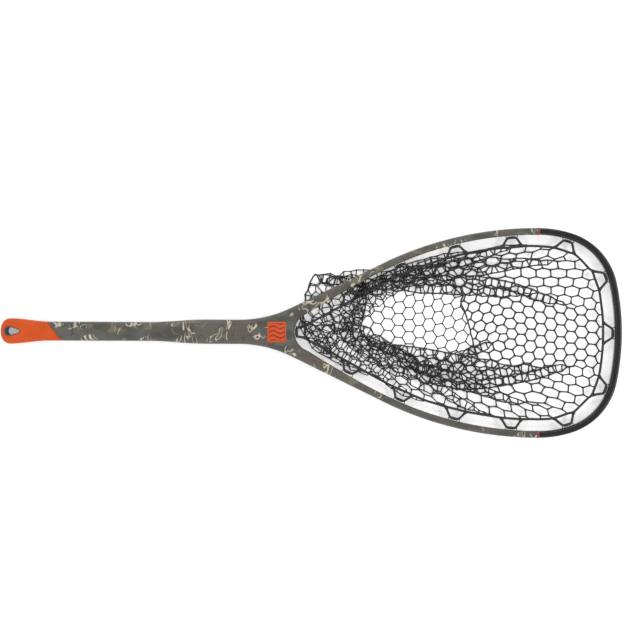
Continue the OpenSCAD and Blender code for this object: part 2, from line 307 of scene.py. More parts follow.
def camo_material():
    """Composite with a printed pattern of bark, bare twigs and dry leaves under a clear coat."""
    olive = (0.098, 0.096, 0.084)
    olive_dark = (0.062, 0.061, 0.053)
    brown = (0.105, 0.086, 0.072)
    mauve = (0.052, 0.040, 0.036)
    shadow = (0.030, 0.026, 0.022)
    cream = (0.56, 0.50, 0.36)
    ochre = (0.235, 0.205, 0.105)
    m = Shader("camo_composite", coat_weight=0.15, coat_roughness=0.3, specular_ior_level=0.35)
    along = m.scaled(1, 2.4, 2.4)
    colour = m.mix(m.ramp(m.noise(26, 3, along), 0.42, 0.60), olive, olive_dark)
    patch = m.ramp(m.noise(17, 2, m.scaled(1, 2, 2, math.radians(30))), 0.50, 0.60, 0, 0.8)
    colour = m.mix(patch, colour, brown)
    bark = m.line(m.noise(22, 1, m.scaled(2.6, 1, 1, math.radians(12)), 0.8), 0.50, 0.012)
    colour = m.mix(m.times(bark, 0.65), colour, mauve)
    leaf = m.ramp(m.noise(40, 1, m.scaled(1, 2.2, 2.2, math.radians(24)), 0.5), 0.60, 0.63)
    area = m.ramp(m.noise(12, 0, along), 0.50, 0.55)
    colour = m.mix(m.times(m.times(leaf, area), 0.4), colour, ochre)
    for turn, finer in ((66, 1.0), (-52, 1.35)):
        twig = m.noise(23 * finer, 1.2, m.scaled(1.9, 1, 1, math.radians(turn)), 1.5)
        grove = m.ramp(m.noise(30 * finer, 0.5, m.scaled(1, 1.2, 1.2)), 0.612, 0.64)
        for width, share, tone in ((0.060, 0.75, shadow), (0.034, 0.9, cream)):
            drawn = m.times(m.line(twig, 0.54, width), grove)
            colour = m.mix(m.times(drawn, share), colour, tone)
    m.set(m.bsdf, "Base Color", colour)
    m.uneven(400, 3, 0.36, 0.50)
    m.bump(m.noise(900, 2), 0.00006, 0.5)
    return m.mat


def elastomer_material(name, colour, shade, grain=1400):
    """Moulded soft rubber: a matt grain, and a slightly darker, worn tone in patches."""
    m = Shader(name, specular_ior_level=0.25)
    m.two_tone(m.noise(45, 3), 0.35, 0.7, colour, shade)
    m.uneven(300, 2, 0.44, 0.58)
    m.bump(m.noise(grain, 3), 0.00012, 0.7)
    return m.mat


def gloss_material():
    """Black moulded composite with a clear gloss and faint flow lines along the tube."""
    m = Shader("black_composite", specular_ior_level=0.15, coat_weight=0.6, coat_roughness=0.07)
    m.two_tone(m.noise(90, 3, m.scaled(1, 1, 5)), 0.35, 0.7, (0.004, 0.004, 0.0045), (0.008, 0.008, 0.009))
    m.uneven(220, 2, 0.18, 0.28)
    m.bump(m.noise(700, 2), 0.00003, 0.4)
    return m.mat


def band_material():
    """Dark red lacquer with fine rings, as on a wrapped band."""
    m = Shader("red_band", roughness=0.3, coat_weight=0.6, coat_roughness=0.15)
    m.two_tone(m.noise(500, 3), 0.45, 0.7, (0.21, 0.022, 0.022), (0.15, 0.02, 0.02))
    m.bump(m.noise(900, 1, m.scaled(4, 1, 1)), 0.00006, 0.6)
    return m.mat


def fibre_material():
    """Black fibre, for the laid cord."""
    m = Shader("lacing", roughness=0.8, sheen_weight=0.25, sheen_roughness=0.5)
    fibre = m.noise(2500, 2, m.scaled(1, 1, 1, math.radians(40)))
    m.two_tone(fibre, 0.35, 0.65, (0.008, 0.008, 0.009), (0.03, 0.03, 0.032))
    m.bump(fibre, 0.0001, 0.8)
    return m.mat


def net_material():
    """Dip-moulded dark rubber, a little glossy where it is clean and dusty where it is not."""
    m = Shader("net_rubber", specular_ior_level=0.45)
    m.two_tone(m.noise(60, 4), 0.4, 0.75, (0.013, 0.013, 0.014), (0.026, 0.026, 0.027))
    m.uneven(500, 3, 0.36, 0.56)
    m.bump(m.noise(1800, 2), 0.00008, 0.5)
    return m.mat


def alloy_material():
    """Bare metal, brushed along its length."""
    m = Shader("spigot_alloy", roughness=0.35, metallic=1.0)
    brushed = m.scaled(1, 12, 12)
    m.two_tone(m.noise(60, 3, brushed), 0.3, 0.7, (0.42, 0.42, 0.43), (0.55, 0.55, 0.56))
    m.bump(m.noise(120, 2, brushed), 0.00004, 0.5)
    return m.mat


def foam_material():
    """Pale closed-cell foam."""
    m = Shader("core_foam", roughness=0.9)
    cells = m.noise(700, 3)
    m.two_tone(cells, 0.35, 0.65, (0.58, 0.54, 0.42), (0.70, 0.66, 0.53))
    m.bump(cells, 0.0004, 1.0)
    return m.mat


def floor_material():
    """A near-white studio floor that glows a little, so that it stays white up to the object."""
    m = Shader("pale_floor", roughness=0.9, specular_ior_level=0.1)
    m.set(m.bsdf, "Base Color", m.mix(m.noise(3, 2), (0.90, 0.90, 0.90), (0.93, 0.93, 0.93)))
    m.set(m.bsdf, "Emission Color", (1, 1, 1))
    m.set(m.bsdf, "Emission Strength", 0.32)
    return m.mat


MATERIALS = {
    "camo_composite": camo_material(),
    "orange_elastomer": elastomer_material("orange_elastomer", (0.60, 0.078, 0.008), (0.52, 0.064, 0.006)),
    "orange_badge": elastomer_material("orange_badge", (0.64, 0.098, 0.022), (0.56, 0.080, 0.016), 1000),
    # a darker copy of the badge's orange, painted as shade in its hollows
    "badge_hollow_shade": elastomer_material("badge_hollow_shade", (0.36, 0.042, 0.010), (0.30, 0.034, 0.008)),
    "liner_rubber": elastomer_material("liner_rubber", (0.15, 0.125, 0.13), (0.11, 0.092, 0.095)),
    "black_composite": gloss_material(),
    "red_band": band_material(),
    "lacing": fibre_material(),
    "net_rubber": net_material(),
    "spigot_alloy": alloy_material(),
    "core_foam": foam_material(),
}


# ---------------------------------------------------------------- mesh helpers

CREASE = 40                         # edges that turn more than this many degrees stay sharp


def piece(name, verts, faces, slot, nodes=(), sharp=CREASE):
    """A new mesh piece that rides on the body, takes a slot's material and stands for CAD nodes."""
    mesh = bpy.data.meshes.new(name)
    mesh.from_pydata([[c * MM for c in v] for v in verts], [], faces)
    mesh.materials.append(MATERIALS[slot])
    obj = bpy.data.objects.new(name, mesh)
    bpy.context.collection.objects.link(obj)
    smooth(mesh, sharp)
    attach(obj, BODY)
    if nodes:
        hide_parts(*nodes)
    return obj


def smooth(mesh, sharp):
    """Outward faces, smooth shading, and edges sharper than an angle in degrees kept sharp."""
    bm = bmesh.new()
    bm.from_mesh(mesh)
    bmesh.ops.recalc_face_normals(bm, faces=bm.faces)
    for f in bm.faces:
        f.smooth = True
    bm.to_mesh(mesh)
    bm.free()
    mesh.set_sharp_from_angle(angle=math.radians(sharp))


def loft(rings, closed=False):
    """(verts, faces) of a skin through rings of equal length, capped unless it closes on itself."""
    n = len(rings[0])
    count = len(rings)
    verts = [tuple(p) for ring in rings for p in ring]
    faces = []
    for k in range(count if closed else count - 1):
        a, b = k * n, (k + 1) % count * n
        faces += [(a + i, a + (i + 1) % n, b + (i + 1) % n, b + i) for i in range(n)]
    if not closed:
        faces.append(tuple(range(n - 1, -1, -1)))
        faces.append(tuple(range((count - 1) * n, count * n)))
    return verts, faces


def join(parts):
    """One (verts, faces) from several."""
    verts, faces = [], []
    for v, f in parts:
        faces += [tuple(i + len(verts) for i in face) for face in f]
        verts += v
    return verts, faces


CORNER_STEPS = 8


def rounded_rect(w, t, r, steps=CORNER_STEPS):
    """Points of a rounded rectangle about its middle, anticlockwise from the right-hand side."""
    pts = []
    for k, (sx, sy) in enumerate(((1, 1), (-1, 1), (-1, -1), (1, -1))):
        for i in range(steps + 1):
            a = math.radians(90 * (k + i / steps))
            pts.append((sx * (w / 2 - r) + r * math.cos(a), sy * (t / 2 - r) + r * math.sin(a)))
    return pts


def steps_between(a, b, pitch):
    """Even steps from a to b, each about as long as pitch."""
    return np.linspace(a, b, max(2, int(abs(b - a) / pitch) + 1))


def cut(obj, tool):
    """Takes tool's shape out of obj, and deletes tool."""
    mod = obj.modifiers.new("cut", "BOOLEAN")
    mod.operation = "DIFFERENCE"
    mod.solver = "EXACT"
    mod.object = tool
    old = obj.data
    shown = obj.evaluated_get(bpy.context.evaluated_depsgraph_get())
    obj.data = bpy.data.meshes.new_from_object(shown)
    obj.modifiers.clear()
    bpy.data.meshes.remove(old)
    bpy.data.objects.remove(tool)
    obj.data.set_sharp_from_angle(angle=math.radians(CREASE))


# ---------------------------------------------------------------- handle and butt cap

def handle_ring(x, slant=0.0, inset=0.0):
    """Cross-section at x. slant 1 leans it as the joint between the cap and the handle does.

    A leaning section's width depends on where each point ends up, so a few rounds close in on it.
    """
    ring = []
    for k in range(4 * (CORNER_STEPS + 1)):
        at = x
        for _ in range(4):
            w, t = 2 * (handle_half(at) - inset), 2 * (handle_half_t(at) - inset)
            y, z = rounded_rect(w, t, EDGE_R - inset)[k]
            at = x - slant * math.tan(CAP_JOINT_TURN) * y
        ring.append((at, y, Z_MID + z))
    return ring


def slant_at(x):
    """How much the section at x leans, easing off away from the joint."""
    return max(0, 1 - abs(x - CAP_JOINT_X) / SLANT_REACH)


def make_handle():
    """The handle, from its chamfered joint with the cap to the yoke."""
    step = 6
    start = CAP_JOINT_X + CAP_JOINT_HALF_GAP
    stations = [start + CAP_JOINT_CHAMFER, *steps_between(start + step, HANDLE_FRONT, step)]
    rings = [handle_ring(start, 1, CAP_JOINT_CHAMFER)]
    rings += [handle_ring(x, slant_at(x)) for x in stations]
    piece("handle_skin", *loft(rings), "camo_composite", ["handle_shell"])


def butt_ring(d):
    """Section of the butt cap's rounded end, d in from its tip."""
    turn = math.acos(1 - min(1, d / BUTT_ROUND))
    drawn_in = BUTT_ROUND * (1 - math.sin(turn))
    x = BUTT_X + d
    half = handle_half(x) - drawn_in
    half_t = handle_half_t(x) - BUTT_FLATTER * drawn_in
    flat = 0.2
    edge = min(EDGE_R, half - flat, half_t - flat)
    return [(x, y, Z_MID + z) for y, z in rounded_rect(2 * half, 2 * half_t, edge)]


def teardrop(grow):
    """Outline of the lanyard hole, grown outwards: the round end is towards the butt."""
    reach = HOLE_LENGTH - HOLE_R - HOLE_TIP_R
    lean = math.acos((HOLE_R - HOLE_TIP_R) / reach)
    big, small = HOLE_R + grow, HOLE_TIP_R + grow
    angles = np.linspace(lean, 2 * math.pi - lean, 33)
    pts = [(HOLE_X + big * math.cos(a), big * math.sin(a)) for a in angles]
    pts += [(HOLE_X + reach + small * math.cos(a), small * math.sin(a))
            for a in np.linspace(-lean, lean, 13)]
    return pts


def teardrop_ring(grow, z):
    """The hole's outline, grown outwards, at a height."""
    return [(x, y, z) for x, y in teardrop(grow)]


def hole_tool():
    """What is cut out of the cap: the hole and its lining's wall, with rounded lips."""
    overlap, past = 0.05, 3
    wall = LINER_WALL - overlap
    turns = [math.radians(a) for a in range(0, 91, 15)]
    lip = [(wall + HOLE_FILLET * (1 - math.cos(t)), HOLE_FILLET * (1 - math.sin(t))) for t in turns]
    rings = [teardrop_ring(wall + HOLE_FILLET, -past)]
    rings += [teardrop_ring(grow, z) for grow, z in lip[::-1]]
    rings += [teardrop_ring(grow, HANDLE_T - z) for grow, z in lip]
    rings += [teardrop_ring(wall + HOLE_FILLET, HANDLE_T + past)]
    return piece("hole_tool", *loft(rings), "liner_rubber")


def make_butt_cap():
    """The cap, from its rounded end to the slanting joint, with the lanyard hole cut out."""
    end = CAP_JOINT_X - CAP_JOINT_HALF_GAP
    depths = [BUTT_ROUND * (1 - math.cos(math.radians(a))) for a in range(4, 91, 6)]
    stations = steps_between(BUTT_X + BUTT_ROUND + 3, end - CAP_JOINT_CHAMFER, 4)
    rings = [butt_ring(d) for d in depths]
    rings += [handle_ring(x, slant_at(x)) for x in stations]
    rings += [handle_ring(end, 1, CAP_JOINT_CHAMFER)]
    cap = piece("butt_cap_rubber", *loft(rings), "orange_elastomer", ["butt_cap"])
    cut(cap, hole_tool())


def make_liner():
    """The hole's dark lining, with a rounded lip just under each face of the cap."""
    play = 0.02
    lip = LINER_WALL / 2 - play
    turns = np.linspace(0, math.pi, 9)
    rings = [teardrop_ring(lip - lip * math.cos(a), HANDLE_T - LINER_SUNK + lip * math.sin(a)) for a in turns]
    rings += [teardrop_ring(lip + lip * math.cos(a), LINER_SUNK - lip * math.sin(a)) for a in turns]
    piece("lanyard_hole_lining", *loft(rings, closed=True), "liner_rubber", ["lanyard_liner"])


# ---------------------------------------------------------------- yoke and arms

def yoke_edges():
    """Plan lines of the yoke and arms on the +Y side: the outer edge from the handle to the hoop,
    and the inner edge from the throat to the hoop."""
    outer = [(x, outer_y(x)) for x in steps_between(HANDLE_FRONT, ARM_SLIM_X, 4)] + [tuple(EDGE_AT)]
    centre_x = THROAT_X + THROAT_R
    turn = math.acos((centre_x - THROAT_JOIN_X) / THROAT_R)
    inner = [(centre_x - THROAT_R * math.cos(a), THROAT_R * math.sin(a)) for a in np.linspace(0, turn, 12)]
    inner += [(x, outer_y(x) - arm_span(x)) for x in steps_between(THROAT_JOIN_X + 5, ARM_SLIM_X - 2, 5)]
    inner += [tuple(EDGE_AT - HOOP_W * ARM_OUT)]
    return np.array(outer), np.array(inner)


def offset(line, d):
    """line moved to its left by d, or by one distance for each point; ends keep their own direction."""
    t = np.gradient(line, axis=0)
    t[0], t[-1] = line[1] - line[0], line[-1] - line[-2]
    t /= np.linalg.norm(t, axis=1)[:, None]
    return line + np.stack([-t[:, 1], t[:, 0]], -1) * np.reshape(d, (-1, 1))


def edge_radius(x):
    """Radius of the rounded edge along the yoke and the arms."""
    if x < THROAT_X:
        return EDGE_R + (YOKE_EDGE_R - EDGE_R) * (x - HANDLE_FRONT) / (THROAT_X - HANDLE_FRONT)
    f = min(1, (x - THROAT_X) / (ARM_END[0] - THROAT_X))
    return YOKE_EDGE_R + (TUBE_CORNER - YOKE_EDGE_R) * f


def yoke_ring(outer, inner, turn):
    """Closed plan outline, drawn in as the rounded edge turns by an angle from upright to flat."""

    def drawn(line, left):
        """The line moved into the solid, which lies to its left (1) or its right (-1)."""
        d = np.array([edge_radius(p[0]) * (1 - math.cos(turn)) for p in line])
        return offset(line, left * d)

    top = drawn(outer, -1)
    hollow = drawn(inner, 1)
    hollow[0] = (inner[0][0] - edge_radius(inner[0][0]) * (1 - math.cos(turn)), 0)
    left = np.concatenate([top, hollow[::-1]])
    right = np.concatenate([hollow[1:], top[::-1]]) * [1, -1]
    return np.concatenate([left, right])


def yoke_surface(turn, ring, sign):
    """The points of a plan outline at their height, above (sign 1) or below the middle."""
    return [(x, y, Z_MID + sign * (yoke_half_t(x) - edge_radius(x) * (1 - math.sin(turn)))) for x, y in ring]


def yoke_solid():
    """One closed mesh of the yoke with both arms."""
    outer, inner = yoke_edges()
    turns = [math.radians(a) for a in (0, 12, 24, 36, 50, 65, 80, 90)]
    plans = [yoke_ring(outer, inner, t) for t in turns]
    n = len(plans[0])
    rings = [yoke_surface(t, p, -1) for t, p in zip(turns, plans)][::-1]
    rings += [yoke_surface(t, p, 1) for t, p in zip(turns, plans)]
    verts, faces = loft(rings)
    faces = faces[:-2]
    flat = [Vector(p) for p in plans[-1]]
    border = [(i, (i + 1) % n) for i in range(n)]
    _, _, tris, origin, *_ = delaunay_2d_cdt(flat, border, [], 1, 1e-7)
    last = (len(rings) - 1) * n
    for tri in tris:
        ids = [origin[i][0] for i in tri]
        faces.append(tuple(ids[::-1]))
        faces.append(tuple(last + i for i in ids))
    return verts, faces


def split(solid, name, node, sign=0):
    """The solid's part behind the throat, or its arm on one side of the axis, with the cuts closed."""
    obj = piece(name, *solid, "camo_composite", [node])
    at = (THROAT_X + 0.01, 0, 0)
    planes = [(at, (-1, 0, 0)), ((0, 0, 0), (0, -sign, 0))] if sign else [(at, (1, 0, 0))]
    bm = bmesh.new()
    bm.from_mesh(obj.data)
    for co, normal in planes:
        geom = bm.verts[:] + bm.edges[:] + bm.faces[:]
        res = bmesh.ops.bisect_plane(bm, geom=geom, plane_co=[c * MM for c in co], plane_no=normal,
                                     clear_outer=True, dist=1e-7)
        rim = [e for e in res["geom_cut"] if isinstance(e, bmesh.types.BMEdge) and e.is_boundary]
        bmesh.ops.holes_fill(bm, edges=rim)
    bm.to_mesh(obj.data)
    bm.free()
    smooth(obj.data, CREASE)


def make_yoke():
    """The yoke and its two arms, parted at the throat."""
    solid = yoke_solid()
    split(solid, "yoke_skin", "yoke")
    for name, sign in SIDES:
        split(solid, "arm_skin_" + name, "arm_" + name, sign)


# ---------------------------------------------------------------- badge

BADGE_SLOPE = math.atan((HANDLE_T / 2 - THROAT_HALF_T) / (THROAT_X - HANDLE_FRONT))
BADGE_TOP = Z_MID + yoke_half_t(BADGE_X)


def badge_edge(x, y):
    """Distance in from the plaque's nearest side."""
    return min(BADGE_L / 2 - abs(x), BADGE_W / 2 - abs(y))


def badge_relief(x, y):
    """Height of the badge's relief: a raised rim and wavy ridges."""
    edge = badge_edge(x, y)
    if edge < BADGE_FIELD:
        return BADGE_RELIEF if BADGE_RIM[0] < edge < BADGE_RIM[1] else 0.0
    off = abs((y + RIDGE_SWAY * math.sin(x / RIDGE_WAVE)) % RIDGE_PITCH - RIDGE_PITCH / 2)
    return BADGE_RELIEF * max(0.0, min(1.0, (RIDGE_HALF - off) / RIDGE_FALL))


def rounded_corner(x, y):
    """The point x, y of the plaque, drawn in so that its square corners become round."""
    ex, ey = BADGE_L / 2 - BADGE_CORNER - abs(x), BADGE_W / 2 - BADGE_CORNER - abs(y)
    if ex >= 0 or ey >= 0:
        return x, y
    pull = max(abs(ex), abs(ey)) / max(math.hypot(ex, ey), 1e-6)
    return (math.copysign(BADGE_L / 2 - BADGE_CORNER - ex * pull, x),
            math.copysign(BADGE_W / 2 - BADGE_CORNER - ey * pull, y))


def badge_point(x, y):
    """A point of the plaque's face: on the yoke's slope, with its relief and rounded edge."""
    x, y = rounded_corner(x, y)
    lost = max(0, BADGE_EDGE_R - badge_edge(x, y))
    fall = BADGE_EDGE_R - math.sqrt(max(0, BADGE_EDGE_R ** 2 - lost ** 2))
    h = BADGE_T - BADGE_SUNK - fall + badge_relief(x, y) - BADGE_RELIEF
    return (BADGE_X + x * math.cos(BADGE_SLOPE) + h * math.sin(BADGE_SLOPE), y,
            BADGE_TOP - x * math.sin(BADGE_SLOPE) + h)


def make_badge():
    """A plain moulded plaque sunk in the yoke's sloping top, its hollows painted darker as shade."""
    pitch = 0.35
    columns, rows = int(BADGE_L / pitch), int(BADGE_W / pitch)
    n = rows + 1
    verts = [badge_point(BADGE_L * (i / columns - 0.5), BADGE_W * (j / rows - 0.5))
             for i in range(columns + 1) for j in range(n)]
    faces = [(i * n + j, (i + 1) * n + j, (i + 1) * n + j + 1, i * n + j + 1)
             for i in range(columns) for j in range(rows)]
    border = [i * n for i in range(columns + 1)]
    border += [columns * n + j for j in range(1, n)]
    border += [i * n + rows for i in range(columns - 1, -1, -1)]
    border += list(range(rows - 1, 0, -1))
    base, m = len(verts), len(border)
    verts += [(verts[i][0], verts[i][1], verts[i][2] - (BADGE_T - BADGE_RELIEF)) for i in border]
    faces += [(border[i], base + i, base + (i + 1) % m, border[(i + 1) % m]) for i in range(m)]
    faces.append(tuple(base + i for i in range(m)))
    plaque = piece("badge_plaque", verts, faces, "orange_badge", ["badge"], 50)
    # The hollows take a darker copy of the badge's orange: painted shade in the recesses.
    plaque.data.materials.append(MATERIALS["badge_hollow_shade"])
    for face in plaque.data.polygons:
        x, y = (face.center.x / MM - BADGE_X) / math.cos(BADGE_SLOPE), face.center.y / MM
        face.material_index = int(badge_edge(x, y) > HOLLOW_INSET and badge_relief(x, y) < HOLLOW_TOP)


# ---------------------------------------------------------------- hoop, bands and lacing

def tube_profile():
    """Outline of the hoop's tube with its round lacing groove, as (outwards, up)."""
    body = rounded_rect(HOOP_W, HOOP_T, TUBE_CORNER, 6)
    turns = np.linspace(0, math.pi, 9)
    return body + [(LINE_R - GROOVE_R * math.sin(a), -GROOVE_R * math.cos(a)) for a in turns]


def swept(profile, stations):
    """Rings of a profile carried along the hoop."""
    rings = []
    for s in stations:
        p, out = place(s)
        rings.append([(*(p + u * out), Z_MID + v) for u, v in profile])
    return rings


def make_hoop():
    """The black bow in front, and the two camouflaged rails that run back to the arms."""
    profile = tube_profile()
    bow = swept(profile, steps_between(-BOW_S, BOW_S, 2.5))
    piece("front_bow_gloss", *loft(bow), "black_composite", ["front_bow"])
    for name, sign in SIDES:
        rail = swept(profile, sign * steps_between(BOW_S, HOOP_S, 3))
        piece("side_rail_skin_" + name, *loft(rail), "camo_composite", ["side_rail_" + name])


def make_bands():
    """A thin band with soft edges over each splice."""
    half, thick, soft = 1.8, 0.5, 0.4
    low = thick - soft
    section = ((-half, low), (soft - half, thick), (0, thick), (half - soft, thick), (half, low))
    for name, sign in SIDES:
        rings = []
        for along, grow in section:
            outline = rounded_rect(HOOP_W + 2 * grow, HOOP_T + 2 * grow, TUBE_CORNER + grow, 6)
            rings += swept(outline, [sign * (BOW_S + along)])
        piece("splice_band_ring_" + name, *loft(rings), "red_band", ["splice_band_" + name])


CORD_STRANDS = 3
CORD_LAY = 5.0                      # how far one strand runs along the cord to the next one's place
CORD_SIDES = 9


def laid_cord(path):
    """(verts, faces) of a laid cord along a path of points."""
    path = np.array(path, float)
    gone = np.concatenate([[0], np.cumsum(np.linalg.norm(np.diff(path, axis=0), axis=1))])
    rings = []
    for k, p in enumerate(path):
        t = path[min(k + 1, len(path) - 1)] - path[max(k - 1, 0)]
        t /= np.linalg.norm(t)
        a = np.cross(t, (0, 0, 1))
        a /= np.linalg.norm(a)
        b = np.cross(t, a)
        turn = 2 * math.pi * gone[k] / (CORD_LAY * CORD_STRANDS)
        ring = []
        for i in range(CORD_SIDES):
            phi = 2 * math.pi * i / CORD_SIDES
            r = CORD_R * (0.88 + 0.12 * math.cos(CORD_STRANDS * (phi - turn)))
            ring.append(tuple(p + r * (math.cos(phi) * a + math.sin(phi) * b)))
        rings.append(ring)
    return loft(rings)


def make_lacing():
    """The run in the hoop's outer groove, with each end turned into the arm."""
    reach, beyond = LINE_R - CORD_SUNK, 3
    path = []
    for s in steps_between(-HOOP_S - beyond, HOOP_S + beyond, 0.9):
        p, out = place(s)
        in_arm = max(0.0, abs(s) - HOOP_S + 1) * 0.8
        path.append((*(p + (reach - in_arm) * out), Z_MID))
    piece("lacing_cord_laid", *laid_cord(path), "lacing", ["lacing_cord"])


def rounded_path(points, radius, pitch=0.6):
    """Closely spaced points along straight lines whose corners are rounded."""
    pts = [np.array(p, float) for p in points]
    out = [pts[0]]
    for a, b, c in zip(pts, pts[1:], pts[2:]):
        p = b + radius * (a - b) / np.linalg.norm(a - b)
        q = b + radius * (c - b) / np.linalg.norm(c - b)
        out += [(1 - f) ** 2 * p + 2 * f * (1 - f) * b + f ** 2 * q for f in np.linspace(0, 1, 7)]
    out.append(pts[-1])
    dense = [out[0]]
    for a, b in zip(out, out[1:]):
        n = max(1, int(np.linalg.norm(b - a) / pitch))
        dense += [a + (b - a) * (i + 1) / n for i in range(n)]
    return dense


def loop_frames():
    """(middle of its stitch, inwards, along, the stitch's depth in the frame) for each hanging loop."""
    out = []
    for k in range(-LOOPS_EACH_SIDE, LOOPS_EACH_SIDE + 1):
        p, away = place(k * LOOP_PITCH)
        wider = arm_span(p[0]) * math.cos(ARM_ANGLE) - HOOP_W + 0.6 if p[0] < ARM_END[0] else 0
        middle = p - (LINE_R + STITCH_OFF + wider) * away
        out.append((middle, -away, np.array([-away[1], away[0]]), LINE_R + wider))
    throat = np.array([THROAT_X + STITCH_OFF, 0.0])
    out.append((throat, np.array([1.0, 0.0]), np.array([0.0, 1.0]), THROAT_STITCH_DEPTH))
    return out


def make_stitches():
    """Where the cord comes through the tube, along each loop's sleeve and back."""
    parts = []
    for middle, inwards, along, depth in loop_frames():
        corners = [middle + sign * STITCH_REACH * along - reach * inwards
                   for sign, reach in ((-1, depth), (-1, 0), (1, 0), (1, depth))]
        parts.append(laid_cord(rounded_path([(*c, Z_MID) for c in corners], 1.6)))
    piece("lacing_stitches_laid", *join(parts), "lacing", ["lacing_stitches"])


def colour_inner_parts():
    """The foam and the spigots keep their CAD meshes, and take a material."""
    slots = {"foam_core": "core_foam",
             "splice_spigot_left": "spigot_alloy",
             "splice_spigot_right": "spigot_alloy"}
    for node, slot in slots.items():
        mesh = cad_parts[node].data
        mesh.materials.clear()
        mesh.materials.append(MATERIALS[slot])


make_handle()
make_butt_cap()
make_liner()
make_yoke()
make_badge()
make_hoop()
make_bands()
make_lacing()
make_stitches()
colour_inner_parts()


# ---------------------------------------------------------------- the bag's mesh, as moulded

RIM_INSET = 22                      # the rim, in from the hoop's centre line
SEAM_INSET = 47
FRONT_DEPTH, BACK_DEPTH = 210, 115
DEEP_S = 200                        # the bag is at its deepest this near the tip, along the rim
COLUMNS = 72
FRONT_S = 150                       # the wall's cells are turned a quarter this near the tip
BACK_HALF = 10
BAG_BACK_X = THROAT_X - LINE_R + RIM_INSET
BACK_MOVE, BACK_TAPER = 1.35, 0.15  # the back's shift and narrowing for each mm of inset
WALL_R, THIN_R = 1.14, 0.82         # strands round the front of the wall, and everywhere else
STOUT_S = (190, 430)                # the wall's strands thin out between these, along the rim
RIM_R, SEAM_R, LEG_R = 1.85, 1.2, 1.85
FOOT_HALF, BACK_FOOT_HALF, SLEEVE_HALF = 16, 9, 6.5
HANG = 2                            # the bag's top, below the hoop's middle
WALL, RIM, SEAM, PANEL, HELD = range(5)      # kinds of node


class Outline:
    """A line round the bag at a distance inside the hoop's centre line; u runs -1..1, 0 at the tip."""

    def __init__(self, inset):
        pts = [p - inset * out for p, out in map(place, steps_between(0, HOOP_S, 8))]
        back_x = BAG_BACK_X + BACK_MOVE * (inset - RIM_INSET)
        back_half = BACK_HALF - BACK_TAPER * (inset - RIM_INSET)
        pts += [np.array([back_x, back_half]), np.array([back_x, 0.0])]
        self.p = np.array(pts)
        self.s = np.concatenate([[0], np.cumsum(np.linalg.norm(np.diff(self.p, axis=0), axis=1))])
        self.half = self.s[-1]
        self.loop = np.concatenate([self.p, (self.p[1:-1] * [1, -1])[::-1]])

    def at(self, u):
        """Points on the line at shares u of its half length from the tip."""
        u = (np.asarray(u, float) + 1) % 2 - 1
        a = np.abs(u) * self.half
        return np.stack([np.interp(a, self.s, self.p[:, 0]),
                         np.sign(u) * np.interp(a, self.s, self.p[:, 1])], -1)


RIM_LINE, SEAM_LINE = Outline(RIM_INSET), Outline(SEAM_INSET)
ROUND = 2 * RIM_LINE.half
CELL = ROUND / (1.5 * COLUMNS)      # side of one hexagon
ROW = math.sqrt(3) * CELL           # from one row of hexagons to the next


def depth_at(s):
    """Depth of the bag at s along the rim: it gets shallower from the deep front to the throat."""
    f = np.clip((np.abs(s) - DEEP_S) / (ROUND / 2 - DEEP_S), 0, 1)
    return FRONT_DEPTH + (BACK_DEPTH - FRONT_DEPTH) * f


def cells_to_strands(centres, loose=None, rounds=0):
    """Nodes and strands of the cells round some centres; loose says which centres may even out."""
    pace = 0.7
    pts = np.array(centres, float)
    for k in range(rounds + 1):
        v, e, f, *_ = delaunay_2d_cdt([Vector(p) for p in pts], [], [], 0, 1e-6)
        pts = np.array([tuple(p) for p in v])
        if k == rounds:
            break
        total, count = np.zeros_like(pts), np.zeros(len(pts))
        for a, b in e:
            total[a] += pts[b]
            total[b] += pts[a]
            count[a] += 1
            count[b] += 1
        share = pace * loose(pts)[:, None]
        pts += share * (total / np.maximum(count, 1)[:, None] - pts)
    nodes = np.array([pts[list(t)].mean(0) for t in f])
    sides, strands = {}, []
    for k, tri in enumerate(f):
        for i in range(3):
            key = tuple(sorted((tri[i], tri[(i + 1) % 3])))
            if key in sides:
                strands.append((sides.pop(key), k))
            else:
                sides[key] = k
    return nodes, strands


def wall_cells():
    """Wall panel laid flat as (s along the rim, d down from it), and made to close on itself.

    The cells in front lie a quarter turn from the rest, and those between the two even out.
    """
    spare = 4
    pts = []
    for i in range(-COLUMNS // 2 - spare, COLUMNS // 2 + spare + 1):
        for j in range(-2, int(FRONT_DEPTH / ROW) + spare):
            s, d = 1.5 * CELL * i, ROW * (j + 0.5 * (i % 2)) + 0.35 * CELL
            if abs(s) > FRONT_S + 0.45 * CELL:
                pts.append((s, d))
    for j in range(-3, int(FRONT_DEPTH / (1.5 * CELL)) + spare):
        for i in range(-12, 13):
            s, d = ROW * (i + 0.5 * (j % 2)), 1.5 * CELL * j + 0.1 * CELL
            if abs(s) < FRONT_S - 0.3 * CELL:
                pts.append((s, d))

    def loose(p):
        near = np.abs(np.abs(p[:, 0]) - FRONT_S) < 2.2 * CELL
        return (near & (p[:, 1] > -CELL) & (p[:, 1] < FRONT_DEPTH + CELL)).astype(float)

    nodes, strands = cells_to_strands(pts, loose, 6)
    half = ROUND / 2
    kept = np.where((nodes[:, 0] >= -half - 0.01) & (nodes[:, 0] < half - 0.01))[0]
    out = nodes[kept]
    index = {k: n for n, k in enumerate(kept)}

    def same(k):
        """Number of node k, or of the one it falls on once the panel is closed; -1 if there is none."""
        if k in index:
            return index[k]
        s = (nodes[k][0] + half) % ROUND - half
        gaps = np.hypot((out[:, 0] - s + half) % ROUND - half, out[:, 1] - nodes[k][1])
        return int(gaps.argmin()) if gaps.min() < 0.3 * CELL else -1

    pairs = set()
    for a, b in strands:
        if a in index or b in index:
            p, q = same(a), same(b)
            if p >= 0 and q >= 0 and p != q:
                pairs.add((min(p, q), max(p, q)))
    return out, sorted(pairs)


